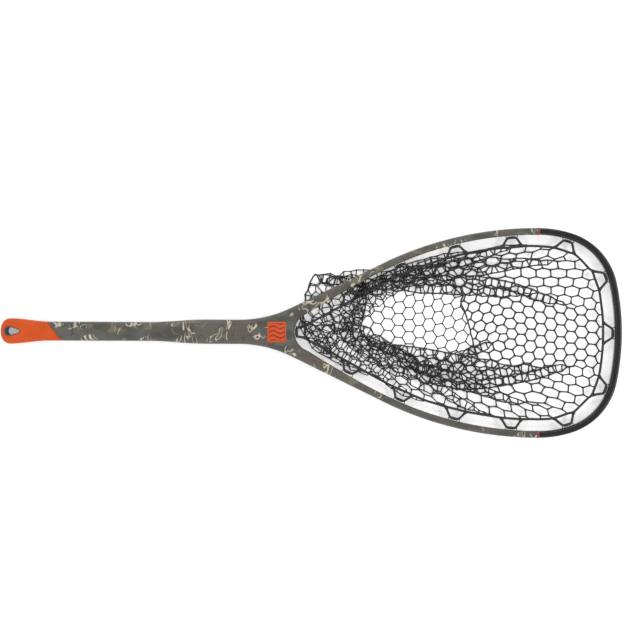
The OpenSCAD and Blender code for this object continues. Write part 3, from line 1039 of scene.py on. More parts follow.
def inside(poly, pts):
    """Which points lie inside a closed outline."""
    x, y = pts[:, 0], pts[:, 1]
    hit = np.zeros(len(pts), bool)
    for (x0, y0), (x1, y1) in zip(poly, np.roll(poly, -1, axis=0)):
        if y0 != y1:
            hit ^= ((y0 > y) != (y1 > y)) & (x < (x1 - x0) * (y - y0) / (y1 - y0) + x0)
    return hit


def crossing(poly, p, q):
    """Where p to q first crosses a closed outline: (share of p to q, side, share of the side)."""
    r, s, d = poly, np.roll(poly, -1, axis=0) - poly, q - p
    den = d[0] * s[:, 1] - d[1] * s[:, 0]
    den = np.where(np.abs(den) < 1e-9, 1e-9, den)
    w = r - p
    t = (w[:, 0] * s[:, 1] - w[:, 1] * s[:, 0]) / den
    u = (w[:, 0] * d[1] - w[:, 1] * d[0]) / den
    good = np.where((t >= 0) & (t <= 1) & (u >= 0) & (u <= 1))[0]
    k = good[t[good].argmin()]
    return t[k], k, u[k]


def foot_half(middle):
    """Half the spread of a loop's feet, from where its stitch is; the throat's loop is narrower."""
    return BACK_FOOT_HALF if middle[1] == 0 and middle[0] < 0 else FOOT_HALF


class Bag:
    """Nodes and strands of the bag, hanging straight down below the hoop as it was moulded."""

    def __init__(self):
        self.x, self.kind, self.s, self.d, self.strands = [], [], [], [], []
        self.rings = {RIM: [], SEAM: []}
        self.add_wall()
        self.feet = [self.add_on(RIM, u * ROUND / 2) for u in self.foot_places()]
        self.add_panel()
        self.close_rings()
        self.add_loops()

    def add(self, xyz, kind, s=0.0, d=0.0):
        self.x.append(xyz)
        self.kind.append(kind)
        self.s.append(s)
        self.d.append(d)
        return len(self.x) - 1

    def hang(self, s, d):
        """A wall point's place: it narrows evenly from the rim to the seam."""
        u, f = s / (ROUND / 2), d / depth_at(s)
        p = RIM_LINE.at(u) * (1 - f) + SEAM_LINE.at(u) * f
        return (p[0], p[1], Z_MID - HANG - d)

    def add_on(self, kind, s):
        """A node on the rim or the seam, at s along it."""
        d = 0.0 if kind == RIM else depth_at(s)
        n = self.add(self.hang(s, d), kind, s, d)
        self.rings[kind].append((s, n))
        return n

    def add_wall(self):
        """The wall's strands, cut off where they meet the rim and the seam."""
        nodes, strands = wall_cells()
        below = nodes[:, 1] - depth_at(nodes[:, 0])
        within = (nodes[:, 1] > 0) & (below < 0)
        number = {k: self.add(self.hang(*nodes[k]), WALL, *nodes[k]) for k in np.where(within)[0]}
        for a, b in strands:
            if not within[a]:
                a, b = b, a
            if within[a] and within[b]:
                self.strands.append((number[a], number[b]))
            elif within[a]:
                kind, level = (RIM, nodes[:, 1]) if nodes[b][1] <= 0 else (SEAM, below)
                t = level[a] / (level[a] - level[b])
                run = (nodes[b][0] - nodes[a][0] + ROUND / 2) % ROUND - ROUND / 2
                s = (nodes[a][0] + t * run + ROUND / 2) % ROUND - ROUND / 2
                self.strands.append((number[a], self.add_on(kind, s)))

    def foot_places(self):
        """Where each hanging loop's two feet meet the rim."""
        dense = np.linspace(-1, 1, 4001)[:-1]
        line = RIM_LINE.at(dense)
        out = []
        for middle, _, along, _ in loop_frames():
            near = line[np.linalg.norm(line - middle, axis=1).argmin()]
            for sign in (1, -1):
                foot = near + sign * foot_half(middle) * along
                out.append(dense[np.linalg.norm(line - foot, axis=1).argmin()])
        return out

    def add_panel(self):
        """The bottom's strands, cut off where they meet the seam."""
        centres = [(1.5 * CELL * i, ROW * (j + 0.5 * (i % 2))) for i in range(-3, 30) for j in range(-9, 10)]
        nodes, strands = cells_to_strands(centres)
        outline = SEAM_LINE.loop
        gone = np.concatenate([SEAM_LINE.s, 2 * SEAM_LINE.half - SEAM_LINE.s[1:-1][::-1]])
        sides = np.linalg.norm(np.roll(outline, -1, axis=0) - outline, axis=1)
        within = inside(outline, nodes)
        rising = np.argsort(SEAM_LINE.p[:, 0])
        along = np.interp(nodes[:, 0], SEAM_LINE.p[rising, 0], SEAM_LINE.s[rising])
        z = Z_MID - HANG - depth_at(along * ROUND / 2 / SEAM_LINE.half)
        number = {k: self.add((*nodes[k], z[k]), PANEL) for k in np.where(within)[0]}
        for a, b in strands:
            if not within[a]:
                a, b = b, a
            if within[a] and within[b]:
                self.strands.append((number[a], number[b]))
            elif within[a]:
                t, side_at, share = crossing(outline, nodes[a], nodes[b])
                u = (gone[side_at] + share * sides[side_at]) / SEAM_LINE.half
                s = (u if u <= 1 else u - 2) * ROUND / 2
                self.strands.append((number[a], self.add_on(SEAM, s)))

    def close_rings(self):
        """Puts the rim's and the seam's nodes in order, and joins those that all but touch."""
        x = np.array(self.x)
        same, keep = {}, set(self.feet)
        for kind, near in ((RIM, 3.0), (SEAM, 2.5)):
            order = []
            for _, n in sorted(self.rings[kind]):
                if order and np.linalg.norm(x[n] - x[order[-1]]) < near:
                    if n in keep:
                        same[order[-1]], order[-1] = n, n
                    else:
                        same[n] = order[-1]
                else:
                    order.append(n)
            if np.linalg.norm(x[order[0]] - x[order[-1]]) < near:
                same[order.pop()] = order[0]
            self.rings[kind] = order

        def final(n):
            while n in same:
                n = same[n]
            return n

        pairs = {tuple(sorted((final(a), final(b)))) for a, b in self.strands}
        pairs = sorted(p for p in pairs if p[0] != p[1])
        used = sorted({n for p in pairs for n in p} | set(self.rings[RIM]) | set(self.rings[SEAM]))
        new = {n: k for k, n in enumerate(used)}
        self.strands = [(new[a], new[b]) for a, b in pairs]
        self.feet = [new[final(n)] for n in self.feet]
        self.rings = {kind: [new[n] for n in ring] for kind, ring in self.rings.items()}
        columns = (self.x, self.kind, self.s, self.d)
        self.x, self.kind, self.s, self.d = ([v[n] for n in used] for v in columns)

    def add_loops(self):
        """Each loop hangs from two held nodes at the ends of its sleeve."""
        self.loops = []
        feet = iter(self.feet)
        for middle, _, along, _ in loop_frames():
            reach = math.hypot(RIM_INSET - LINE_R - STITCH_OFF, foot_half(middle) - SLEEVE_HALF)
            ends = []
            for sign in (1, -1):
                held = self.add((*(middle + sign * SLEEVE_HALF * along), Z_MID), HELD)
                ends.append((held, next(feet), reach))
            self.loops.append(ends)

    def ring_strands(self, kind):
        """The closed line of strands along the rim or the seam."""
        ring = self.rings[kind]
        return list(zip(ring, ring[1:] + ring[:1]))


# ---------------------------------------------------------------- the bag let down on the table

def distance_map(outline):
    """Look-up of the signed distance outside an outline, and its direction."""
    step, margin = 2.0, 40
    low, high = outline.min(0) - margin, outline.max(0) + margin
    xs, ys = np.arange(low[0], high[0], step), np.arange(low[1], high[1], step)
    pts = np.stack(np.meshgrid(xs, ys, indexing="ij"), -1).reshape(-1, 2)
    best = np.full(len(pts), 1e9)
    for p, q in zip(outline, np.roll(outline, -1, axis=0)):
        d = q - p
        t = np.clip((pts - p) @ d / (d @ d + 1e-12), 0, 1)
        best = np.minimum(best, np.linalg.norm(pts - p - t[:, None] * d, axis=1))
    best = np.where(inside(outline, pts), -best, best).reshape(len(xs), len(ys))
    grad = np.stack(np.gradient(best, step), -1)

    def look(p):
        i = np.clip(((p[:, 0] - low[0]) / step).astype(int), 0, len(xs) - 1)
        j = np.clip(((p[:, 1] - low[1]) / step).astype(int), 0, len(ys) - 1)
        g = grad[i, j]
        return best[i, j], g / np.maximum(np.linalg.norm(g, axis=1), 1e-6)[:, None]

    return look


def add_at(index, values, count):
    """Sum of values by index, for one column or for each of several."""
    if values.ndim == 1:
        return np.bincount(index, values, count)
    return np.stack([np.bincount(index, v, count) for v in values.T], -1)


HASH_PRIMES = (73856093, 19349663, 83492791)


def near_pairs(places, reach):
    """Pairs of points in the same or neighbouring grid cells, whose size is reach."""
    key = np.floor(places / reach).astype(np.int64)
    primes = np.array(HASH_PRIMES[:key.shape[1]])
    order = np.argsort(key @ primes, kind="stable")
    hashed = (key @ primes)[order]
    around = np.stack(np.meshgrid(*[[-1, 0, 1]] * key.shape[1], indexing="ij"), -1)
    first, second = [], []
    for move in around.reshape(-1, key.shape[1]):
        want = (key + move) @ primes
        low, high = np.searchsorted(hashed, want, "left"), np.searchsorted(hashed, want, "right")
        count = high - low
        i = np.repeat(np.arange(len(key)), count)
        j = order[np.repeat(low - np.cumsum(count) + count, count) + np.arange(count.sum())]
        first.append(i[i < j])
        second.append(j[i < j])
    return np.concatenate(first), np.concatenate(second)


# Where the bag's seam comes to rest: (distance along it from its tip, x, y), the left side above 0.
SEAM_ROUTE = np.array([
    (-497, -6, 0), (-420, 0, 8), (-345, 14, 16), (-290, 50, 0), (-245, 90, -26), (-200, 132, -48),
    (-152, 174, -60), (-104, 220, -46), (-54, 248, -20), (-24, 254, 0), (-4, 252, 22), (36, 230, 49),
    (74, 208, 68), (106, 182, 81), (180, 108, 78), (285, 24, 72), (372, -10, 62), (440, -14, 46),
    (497, -6, 0)])
# Outline that the part of the bag under the left arm keeps to.
LOBE_EDGE = [(92, 101), (84, 101), (30, 92), (-16, 80), (-23, 68), (-21, 55), (-24, 40), (-24, 0)]
LOBE_MOUTH_X = 105                  # the lobe comes out under the arm behind this
LOBE_TOP = 3.3                      # highest middle of a lobe's strand below the arm
HOOP_ROOM, TUBE_INNER = 9, 6        # how far the rest keeps inside the centre line, and the tube's side
PANEL_SHIFT = 174                   # how far the bag's bottom is swept back towards the handle
FOLD_X = 230                        # the bottom behind this is gathered up
GATHER, GATHER_AHEAD = 0.36, 4      # its depth once gathered, as a share, and how far ahead it starts
LOBE_X = 200                        # the lobe takes in the bottom behind this, on the left
LOBE_SEAM_S = 230                   # ... the seam past this
LOBE_WALL_S, LOBE_WALL_D, LOBE_WALL_X = 330, 70, 170      # ... and the wall past, below and behind these
PANEL_BACK_X = 25                   # the bottom's back end, as moulded
LOBE_BACK = (-25, 66)               # where that end comes to lie
SEAM_LIFT, PANEL_LIFT = 14, 10      # how high the lower side is carried over the rest
LEAD, LIFT = 0.22, 0.35             # share of its way that a led node goes in each step
STEPS, QUICK_STEPS = (280, 40), (60, 15)     # steps to lower the bag, and to let it settle
PASSES = 12                         # rounds of corrections in each step
BEND = 0.5                          # how firmly two neighbours of a node keep their distance
FOOT_HOLD = 0.35                    # how firmly a loop's webbing keeps its feet in place
RIM_HOLD = 0.3                      # how firmly the thick rim keeps its moulded curve
EVEN_OUT = (0.018, 0.018, 0.06)     # share by which a node moves to its neighbours' middle
OVERSHOOT = 1.3                     # share of a length's error put right in each pass
PART, LAY = 0.4, 0.6                # the same where nodes are too close, and where strands cross
GRAVITY, REST_GRAVITY = 0.3, 0.35   # fall in each step, while the bag is led and afterwards
DAMPING, LAST_DAMPING = 0.85, 0.6   # share of its speed that a node keeps
SLIDE_GRIP, REST_GRIP = 0.05, 0.6   # friction while the bag is led, and once it is let go
NODE_GAP = 2.6
TOP_SPEED = 3


class Drop:
    """Lets the bag down by position-based steps: strands keep their length, layers lie on layers."""

    def __init__(self, bag):
        self.bag = bag
        self.x = np.array(bag.x, float)
        self.start = self.x.copy()
        self.kind, self.s, self.d = map(np.array, (bag.kind, bag.s, bag.d))
        self.count = len(self.x)
        self.free = (self.kind != HELD).astype(float)
        self.speed = np.zeros_like(self.x)
        self.feet = np.array(bag.feet)
        self.rim = np.array(bag.rings[RIM])
        self.set_links()
        self.set_targets()
        inner = Outline(HOOP_ROOM)
        upper = [tuple(p) for p in inner.p if p[0] > LOBE_MOUTH_X]
        lower = [(p[0], -p[1]) for p in inner.p[::-1]]
        self.hoop_inner = distance_map(inner.loop)
        self.lobe_room = distance_map(np.array(upper + LOBE_EDGE + lower))
        self.tube = distance_map(Outline(TUBE_INNER).loop)
        self.crossings = None
        self.grip = SLIDE_GRIP

    def set_links(self):
        """Pairs of nodes with their rest length, and how firmly each resists stretch and pressing.

        A node's neighbours are linked too, which keeps the angles between its strands. Each link is
        two nodes, its rest length as a share of the moulded one, its pull and its push.
        """
        bag, x = self.bag, self.x
        rim, seam = bag.ring_strands(RIM), bag.ring_strands(SEAM)
        self.strands = np.array(bag.strands + rim + seam)
        self.node_r = self.thickness()
        net = [min(self.node_r[a], self.node_r[b]) for a, b in bag.strands]
        self.radius = np.array(net + [RIM_R] * len(rim) + [SEAM_R] * len(seam))
        around = [[] for _ in range(self.count)]
        for a, b in self.strands:
            around[a].append(b)
            around[b].append(a)
        links = [(a, b, 1.0, 1.0, 0.9) for a, b in bag.strands]
        links += [(a, b, 0.99, 1.0, 0.8) for a, b in rim] + [(a, b, 1.0, 1.0, 0.8) for a, b in seam]
        on_ring = {frozenset(p) for p in rim + seam}
        for n, near in enumerate(around):
            for i, a in enumerate(near):
                for b in near[i + 1:]:
                    straight = {frozenset((n, a)), frozenset((n, b))} <= on_ring
                    links.append((a, b, 1.0, 0.5, 0.5) if straight else (a, b, 1.0, BEND, BEND))
        links = np.array(links)
        self.a, self.b = links[:, 0].astype(int), links[:, 1].astype(int)
        self.rest = links[:, 2] * np.linalg.norm(x[self.a] - x[self.b], axis=1)
        loops = [pair for ends in bag.loops for pair in ends]
        self.a = np.concatenate([self.a, [p[0] for p in loops]])
        self.b = np.concatenate([self.b, [p[1] for p in loops]])
        self.rest = np.concatenate([self.rest, [p[2] for p in loops]])
        self.pull = np.concatenate([links[:, 3], [1.0] * len(loops)])
        self.push = np.concatenate([links[:, 4], [0.9] * len(loops)])
        self.to = np.concatenate([self.strands[:, 0], self.strands[:, 1]])
        self.frm = np.concatenate([self.strands[:, 1], self.strands[:, 0]])
        self.degree = np.maximum(np.bincount(self.to, minlength=self.count), 1)

    def thickness(self):
        """Radius of the net at each node: stouter round the front of the wall."""
        r = np.interp(np.abs(self.s), STOUT_S, [WALL_R, THIN_R])
        r[self.kind == PANEL] = THIN_R
        r[self.kind == RIM] = RIM_R
        r[self.kind == SEAM] = SEAM_R
        return r

    def set_targets(self):
        """Where the seam and the bottom panel are led: swept back, the lower half folded over."""
        along = self.s * SEAM_LINE.half / (ROUND / 2)
        self.seam = self.kind == SEAM
        self.panel = self.kind == PANEL
        px, py = self.start[:, 0], self.start[:, 1]
        rising = np.argsort(SEAM_LINE.p[:, 0])
        half = np.interp(px, SEAM_LINE.p[rising, 0], SEAM_LINE.p[rising, 1])
        gathered = FOLD_X - PANEL_SHIFT + GATHER_AHEAD - GATHER * (FOLD_X - px)
        tx = np.where(px > FOLD_X, px - PANEL_SHIFT, gathered)

        def seam_y(x, upper):
            """The seam's place across, at x, on its upper or lower side."""
            pts = SEAM_ROUTE[SEAM_ROUTE[:, 0] >= 0] if upper else SEAM_ROUTE[SEAM_ROUTE[:, 0] <= 0]
            pts = pts[np.argsort(pts[:, 1])]
            return np.interp(x, pts[:, 1], pts[:, 2])

        high, low = seam_y(tx, True), seam_y(tx, False)
        gone = half - py
        fold = (2 * half + high - low) / 2
        ty = np.where(gone < fold, high - gone, low + 2 * half - gone)
        lobe = self.panel & (px < LOBE_X) & (py > -0.2 * half)
        ahead = px - PANEL_BACK_X
        tx = np.where(lobe, LOBE_BACK[0] + 0.66 * ahead, tx)
        ty = np.where(lobe, LOBE_BACK[1] + 0.17 * ahead + 0.4 * (py - 0.3 * half), ty)
        tx = np.where(self.seam, np.interp(along, SEAM_ROUTE[:, 0], SEAM_ROUTE[:, 1]), tx)
        ty = np.where(self.seam, np.interp(along, SEAM_ROUTE[:, 0], SEAM_ROUTE[:, 2]), ty)
        self.target = np.stack([tx, ty], -1)
        self.lift_seam = self.seam & (along < 0) & (along > -400)
        self.lift_panel = self.panel & (gone >= fold) & ~lobe
        wall = ((self.kind == WALL) & (self.d > LOBE_WALL_D) & (self.s > LOBE_WALL_S)
                & (px < LOBE_WALL_X))
        self.lobe = lobe | (self.seam & (along > LOBE_SEAM_S)) | wall

    def lead(self, share, floor):
        """Draws the bottom towards its place; share runs 0..1 as the bag comes down."""
        led = self.seam | self.panel
        goal = self.start[led, :2] * (1 - share) + self.target[led] * share
        self.x[led, :2] += LEAD * (goal - self.x[led, :2])
        for nodes, height in ((self.lift_seam, SEAM_LIFT), (self.lift_panel, PANEL_LIFT)):
            self.x[nodes, 2] += LIFT * (floor + height * share - self.x[nodes, 2])

    def keep_lengths(self):
        """Draws linked nodes to their distance, holds the rim, and evens out the strands."""
        x = self.x
        d = x[self.a] - x[self.b]
        length = np.sqrt((d * d).sum(1)) + 1e-9
        over = length - self.rest
        stiff = np.where(over > 0, self.pull, self.push)
        fa, fb = self.free[self.a], self.free[self.b]
        move = (stiff * over / length / np.maximum(fa + fb, 1e-9))[:, None] * d
        total = (add_at(self.b, move * fb[:, None], self.count)
                 - add_at(self.a, move * fa[:, None], self.count))
        weight = np.bincount(self.a, stiff, self.count) + np.bincount(self.b, stiff, self.count)
        x += OVERSHOOT * total / np.maximum(weight, 1)[:, None]
        for held, firmness in ((self.feet, FOOT_HOLD), (self.rim, RIM_HOLD)):
            x[held] += firmness * (self.start[held] - x[held])
        mean = add_at(self.to, x[self.frm], self.count) / self.degree[:, None]
        x += self.free[:, None] * (mean - x) * EVEN_OUT

    def keep_apart(self):
        """Parts nodes that are too close, before the crossings are looked for."""
        i, j = near_pairs(self.x, NODE_GAP)
        d = self.x[i] - self.x[j]
        gap = np.sqrt((d * d).sum(1)) + 1e-6
        close = gap < NODE_GAP
        i, j, d, gap = i[close], j[close], d[close], gap[close]
        move = (PART * (NODE_GAP - gap) / gap)[:, None] * d
        self.x += (add_at(i, move * self.free[i, None], self.count)
                   - add_at(j, move * self.free[j, None], self.count))

    def keep_clear(self, floor, before):
        """Table under the bag, its friction, and the hoop round it."""
        low, tube_reach = 2.0, 4
        x = self.x
        x[:, 2] = np.maximum(x[:, 2], floor + self.node_r)
        resting = (x[:, 2] < floor + low) & (self.free > 0)
        x[resting, :2] -= self.grip * (x[resting, :2] - before[resting, :2])
        for look, nodes in ((self.hoop_inner, ~self.lobe), (self.lobe_room, self.lobe)):
            away, direction = look(x[:, :2])
            out = (self.free > 0) & (away > 0) & nodes
            x[out, :2] -= direction[out] * away[out][:, None]
        away, _ = self.tube(x[:, :2])
        under = self.lobe & (away > -tube_reach)
        x[under, 2] = np.minimum(x[under, 2], LOBE_TOP)

    def find_crossings(self):
        """Pairs of strands that cross in plan, with the shares along each and which lies on top."""
        reach, past_ends = 13.0, 0.05
        x, s = self.x, self.strands
        a, b = x[s[:, 0]], x[s[:, 1]]
        i, j = near_pairs((a[:, :2] + b[:, :2]) / 2, reach)
        apart = (s[i][:, :, None] != s[j][:, None, :]).all((1, 2))
        i, j = i[apart], j[apart]
        p, r, q, w = a[i][:, :2], (b - a)[i][:, :2], a[j][:, :2], (b - a)[j][:, :2]
        den = r[:, 0] * w[:, 1] - r[:, 1] * w[:, 0]
        den = np.where(np.abs(den) < 1e-9, 1e-9, den)
        t = ((q - p)[:, 0] * w[:, 1] - (q - p)[:, 1] * w[:, 0]) / den
        u = ((q - p)[:, 0] * r[:, 1] - (q - p)[:, 1] * r[:, 0]) / den
        hit = (np.abs(t - 0.5) < 0.5 + past_ends) & (np.abs(u - 0.5) < 0.5 + past_ends)
        i, j, t, u = i[hit], j[hit], np.clip(t[hit], 0, 1), np.clip(u[hit], 0, 1)
        above = (a[i, 2] * (1 - t) + b[i, 2] * t) >= (a[j, 2] * (1 - u) + b[j, 2] * u)
        self.crossings = (s[i, 0], s[i, 1], t, s[j, 0], s[j, 1], u, np.where(above, 1.0, -1.0),
                          self.radius[i] + self.radius[j])

    def lie_on(self):
        """Lifts the upper strand and lowers the lower one wherever two that cross are too close."""
        a0, a1, t, b0, b1, u, sign, need = self.crossings
        z = self.x[:, 2]
        gap = sign * (z[a0] * (1 - t) + z[a1] * t - z[b0] * (1 - u) - z[b1] * u)
        lack = np.maximum(0, need - gap)
        force = LAY * sign * lack / ((1 - t) ** 2 + t ** 2 + (1 - u) ** 2 + u ** 2)
        total, weight = np.zeros(self.count), np.zeros(self.count)
        for nodes, share in ((a0, 1 - t), (a1, t), (b0, u - 1), (b1, -u)):
            total += np.bincount(nodes, force * share, self.count)
            weight += np.bincount(nodes, np.abs(share) * (lack > 0), self.count)
        z += self.free * total / np.maximum(weight, 1)

    def step(self, floor, gravity, damping=DAMPING, share=None):
        """Moves everything on by one step; share is how far the bottom is led, if it is."""
        before = self.x.copy()
        self.x += self.speed * damping * self.free[:, None]
        self.x[:, 2] -= gravity * self.free
        if share is not None:
            self.lead(share, floor)
        for k in range(PASSES):
            self.keep_lengths()
            if self.crossings is not None:
                self.lie_on()
            elif k % 4 == 3:
                self.keep_apart()
            self.keep_clear(floor, before)
        self.speed = self.x - before
        fast = np.linalg.norm(self.speed, axis=1)
        self.speed *= (np.minimum(fast, TOP_SPEED) / np.maximum(fast, 1e-9))[:, None]

    def run(self, lower, settle):
        """Raises the table under the hanging bag, lets it settle, then lays crossing strands apart."""
        last_turn, below = 88.5, 3.1
        more, recheck = 20, 6
        for k in range(lower):
            turn = math.radians(last_turn * (k + 1) / lower)
            floor = min(Z_MID - below - FRONT_DEPTH * math.cos(turn), 0.0)
            self.step(floor, GRAVITY, share=math.sin(turn))
        self.grip = REST_GRIP
        for _ in range(settle):
            self.step(0.0, REST_GRAVITY)
        for k in range(settle + more):
            if k % recheck == 0:
                self.find_crossings()
            self.step(0.0, REST_GRAVITY, LAST_DAMPING)
        return self.x


# ---------------------------------------------------------------- the bag's rubber skin

def unit(v):
    """v made one long."""
    return v / max(np.linalg.norm(v), 1e-9)


def node_normal(ways):
    """Upward direction square to the strands that meet at a node."""
    if len(ways) < 3:
        line = ways[0] if len(ways) == 1 else unit(ways[0] - ways[1])
        n = np.array([0, 0, 1.0]) - line[2] * line
    else:
        spread = np.array(ways)
        n = np.linalg.svd(spread - spread.mean(0))[2][-1]
    if np.linalg.norm(n) < 1e-3:
        n = np.array([1.0, 0, 0])
    n = unit(n)
    return n if n[2] >= 0 else -n


def on_table(p):
    """The point p, kept from sinking into the table."""
    return (p[0], p[1], max(p[2], 0.02))


class Skin:
    """Watertight tubes round a network of strands, which share the corners of their joints.

    A strand's ring has six points: mid left, top left, top right, mid right, bottom right, bottom left.
    Seen from the strand's other end, left and right change places.
    """

    FROM_OTHER_END = (3, 2, 1, 0, 5, 4)
    MITRE_LIMIT = 0.55                  # keeps the corners of narrow joints short
    WEB = 1.35                          # the mid corners reach out, as webbing does
    HALF_TOP, TOP = 0.5, 0.87           # the top corners' places, as shares of the radius

    def __init__(self, x, strands, radii):
        self.x, self.radii = x, radii
        self.verts, self.faces = [], []
        around = {}
        for a, b in strands:
            around.setdefault(a, []).append(b)
            around.setdefault(b, []).append(a)
        self.ends, self.normals = {}, {}
        for n, near in around.items():
            self.joint(n, near)
        for a, b in strands:
            self.tube(a, b)

    def add(self, p):
        self.verts.append(on_table(p))
        return len(self.verts) - 1

    def joint(self, n, near):
        """The corners between the strands that meet at node n, and its flat top and bottom."""
        p, r = self.x[n], self.radii[n]
        ways = [unit(self.x[m] - p) for m in near]
        up = self.normals[n] = node_normal(ways)
        if len(near) == 1:
            ring = self.ring(p, ways[0], up, r)
            self.ends[n, near[0]] = ring
            self.faces.append(tuple(ring))
            return

        east = unit(np.cross(up, ways[0]))
        north = np.cross(up, east)
        order = sorted(range(len(near)), key=lambda k: math.atan2(ways[k] @ north, ways[k] @ east))
        corners = []
        for k, i in enumerate(order):
            a, b = ways[i], ways[order[(k + 1) % len(order)]]
            a = unit(a - (a @ up) * up)
            b = unit(b - (b @ up) * up)
            left = np.cross(up, a)
            half = unit(left - np.cross(up, b))
            reach = r / max(self.MITRE_LIMIT, half @ left)
            low, high = (p + self.HALF_TOP * reach * half + sign * self.TOP * r * up for sign in (-1, 1))
            corners.append((self.add(p + self.WEB * reach * half), self.add(high), self.add(low)))
        for k, i in enumerate(order):
            left, right = corners[k], corners[k - 1]
            self.ends[n, near[i]] = [left[0], left[1], right[1], right[0], right[2], left[2]]
        if len(order) > 2:
            self.faces.append(tuple(c[1] for c in corners))
            self.faces.append(tuple(c[2] for c in corners[::-1]))

    def ring(self, p, way, up, r):
        left = unit(np.cross(up, way))
        top = np.cross(way, left)
        turns = [k * math.pi / 3 for k in range(6)]
        return [self.add(p + r * (math.cos(a) * left + math.sin(a) * top)) for a in turns]

    def tube(self, a, b):
        """A strand's sides between its two joints, with a round ring near each if there is room."""
        pa, pb = self.x[a], self.x[b]
        way = unit(pb - pa)
        length = np.linalg.norm(pb - pa)
        up_a, up_b = self.normals[a], self.normals[b]
        start = self.ends[a, b]
        end = [self.ends[b, a][k] for k in self.FROM_OTHER_END]
        if up_a @ up_b < 0:
            end = end[3:] + end[:3]
            up_b = -up_b
        rings = [start]
        r = min(self.radii[a], self.radii[b])
        reach = min(1.9 * r, 0.36 * length)
        if length > 3 * r:
            rings.append(self.ring(pa + reach * way, way, up_a * 0.75 + up_b * 0.25, r))
            rings.append(self.ring(pb - reach * way, way, up_a * 0.25 + up_b * 0.75, r))
        rings.append(end)
        for p, q in zip(rings, rings[1:]):
            self.faces += [(p[k], q[k], q[(k + 1) % 6], p[(k + 1) % 6]) for k in range(6)]


def closed_curve(points, pitch=2.5):
    """A smooth closed line through points (Catmull-Rom)."""
    n = len(points)
    out = []
    for k in range(n):
        p0, p1, p2, p3 = (points[(k + i) % n] for i in (-1, 0, 1, 2))
        steps = max(1, round(np.linalg.norm(p2 - p1) / pitch))
        for t in np.arange(steps) / steps:
            out.append(0.5 * (2 * p1 + (p2 - p0) * t + (2 * p0 - 5 * p1 + 4 * p2 - p3) * t ** 2
                              + (3 * p1 - p0 - 3 * p2 + p3) * t ** 3))
    return np.array(out)


def round_strand(path, radius, closed, sides=8):
    """(verts, faces) of a plain round strand along a path; radius may be one for each point."""
    count = len(path)
    radius = np.broadcast_to(radius, count)
    rings = []
    for k, p in enumerate(path):
        before = path[k - 1] if closed or k > 0 else p
        after = path[(k + 1) % count] if closed or k < count - 1 else p
        way = unit(after - before)
        left = unit(np.cross((0, 0, 1.0), way))
        top = np.cross(way, left)
        rings.append([on_table(p + radius[k] * (math.cos(a) * left + math.sin(a) * top))
                      for a in np.arange(sides) * 2 * math.pi / sides])
    return loft(rings, closed)


def hanging_loop(x, ends):
    """One loop: a thick sleeve round the stitch, and two legs that widen into the rim."""
    flare, flare_reach, swell = 1.3, 7, 0.4
    (held_a, foot_a, _), (held_b, foot_b, _) = ends
    a, b, fa, fb = x[held_a], x[held_b], x[foot_a], x[foot_b]
    path = np.array(rounded_path([fa, a, b, fb], 3.2, 1.2))
    gap = np.minimum(np.linalg.norm(path - fa, axis=1), np.linalg.norm(path - fb, axis=1))
    sleeve = np.minimum(np.linalg.norm(path - (a + b) / 2, axis=1) / SLEEVE_HALF, 1)
    radius = LEG_R + flare * np.clip(1 - gap / flare_reach, 0, 1) ** 1.5 + swell * (1 - sleeve ** 4)
    return round_strand(path, radius, False)


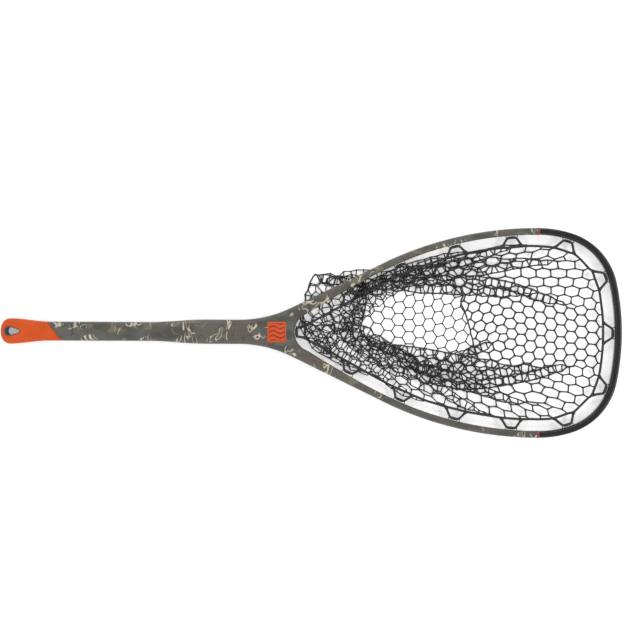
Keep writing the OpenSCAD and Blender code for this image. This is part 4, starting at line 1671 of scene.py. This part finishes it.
def make_bag():
    """Knits the bag, lets it down, and gives its strands their rubber."""
    bag = Bag()
    drop = Drop(bag)
    x = drop.run(*STEPS)
    pairs = {"wall": [], "floor": []}
    for a, b in bag.strands:
        on_floor = PANEL in (bag.kind[a], bag.kind[b])
        pairs["floor" if on_floor else "wall"].append((a, b))
    nodes = {"wall": ["net_wall", "net_folds_upper", "net_folds_lower"],
             "floor": ["net_floor", "net_side_lobe"]}
    for name, strands in pairs.items():
        skin = Skin(x, strands, np.minimum(drop.node_r, WALL_R))
        piece("net_mesh_" + name, skin.verts, skin.faces, "net_rubber", nodes[name], 80)
    for name, ring, radius in (("rim", RIM, RIM_R), ("seam", SEAM, SEAM_R)):
        path = closed_curve(x[bag.rings[ring]])
        piece(f"net_{name}_strand", *round_strand(path, radius, True), "net_rubber", ["net_" + name], 80)
    loops = join([hanging_loop(x, ends) for ends in bag.loops])
    piece("net_hanging_loops", *loops, "net_rubber", ["net_loops"], 80)


make_bag()


# ---------------------------------------------------------------- floor, lights and camera

def make_floor():
    """A wide table top under the object."""
    half = 4.0
    corners = [(-half, -half, 0), (half, -half, 0), (half, half, 0), (-half, half, 0)]
    mesh = bpy.data.meshes.new("floor")
    mesh.from_pydata(corners, [], [(0, 1, 2, 3)])
    mesh.materials.append(floor_material())
    floor = bpy.data.objects.new("floor", mesh)
    bpy.context.collection.objects.link(floor)


def make_light(name, place_at, length, width, power):
    """A long soft light that faces the middle of the object."""
    data = bpy.data.lights.new(name, "AREA")
    data.shape = "RECTANGLE"
    data.size = length
    data.size_y = width
    data.energy = power
    lamp = bpy.data.objects.new(name, data)
    lamp.location = place_at
    lamp.rotation_euler = (-Vector(place_at)).to_track_quat("-Z", "Y").to_euler()
    bpy.context.collection.objects.link(lamp)


def make_world(strength):
    """Even white light from all round."""
    world = bpy.data.worlds.new("studio")
    world.use_nodes = True
    background = world.node_tree.nodes["Background"]
    background.inputs["Color"].default_value = (1, 1, 1, 1)
    background.inputs["Strength"].default_value = strength
    bpy.context.scene.world = world


def make_camera():
    """Straight down, with the object across the frame and its axis a little below the middle."""
    view_width = 0.9495
    height = 1.55
    across, up = 0.0021, 0.0289
    roll = math.radians(0.22)
    data = bpy.data.cameras.new("camera")
    data.sensor_width = 36
    data.lens = data.sensor_width * (height - Z_MID * MM) / view_width
    camera = bpy.data.objects.new("camera", data)
    camera.location = (across, up, height)
    camera.rotation_euler = (0, 0, roll)
    bpy.context.collection.objects.link(camera)
    bpy.context.scene.camera = camera


make_floor()
make_world(0.66)
make_light("left_soft", (0, 1.7, 1.6), 2.4, 0.3, 15)
make_light("right_soft", (0, -1.7, 1.6), 2.4, 0.3, 12)
make_light("tip_soft", (1.7, 0, 1.6), 1.8, 0.3, 12)
make_light("butt_soft", (-1.7, 0, 1.6), 1.8, 0.3, 8)
make_camera()
bpy.context.scene.view_settings.view_transform = "Standard"
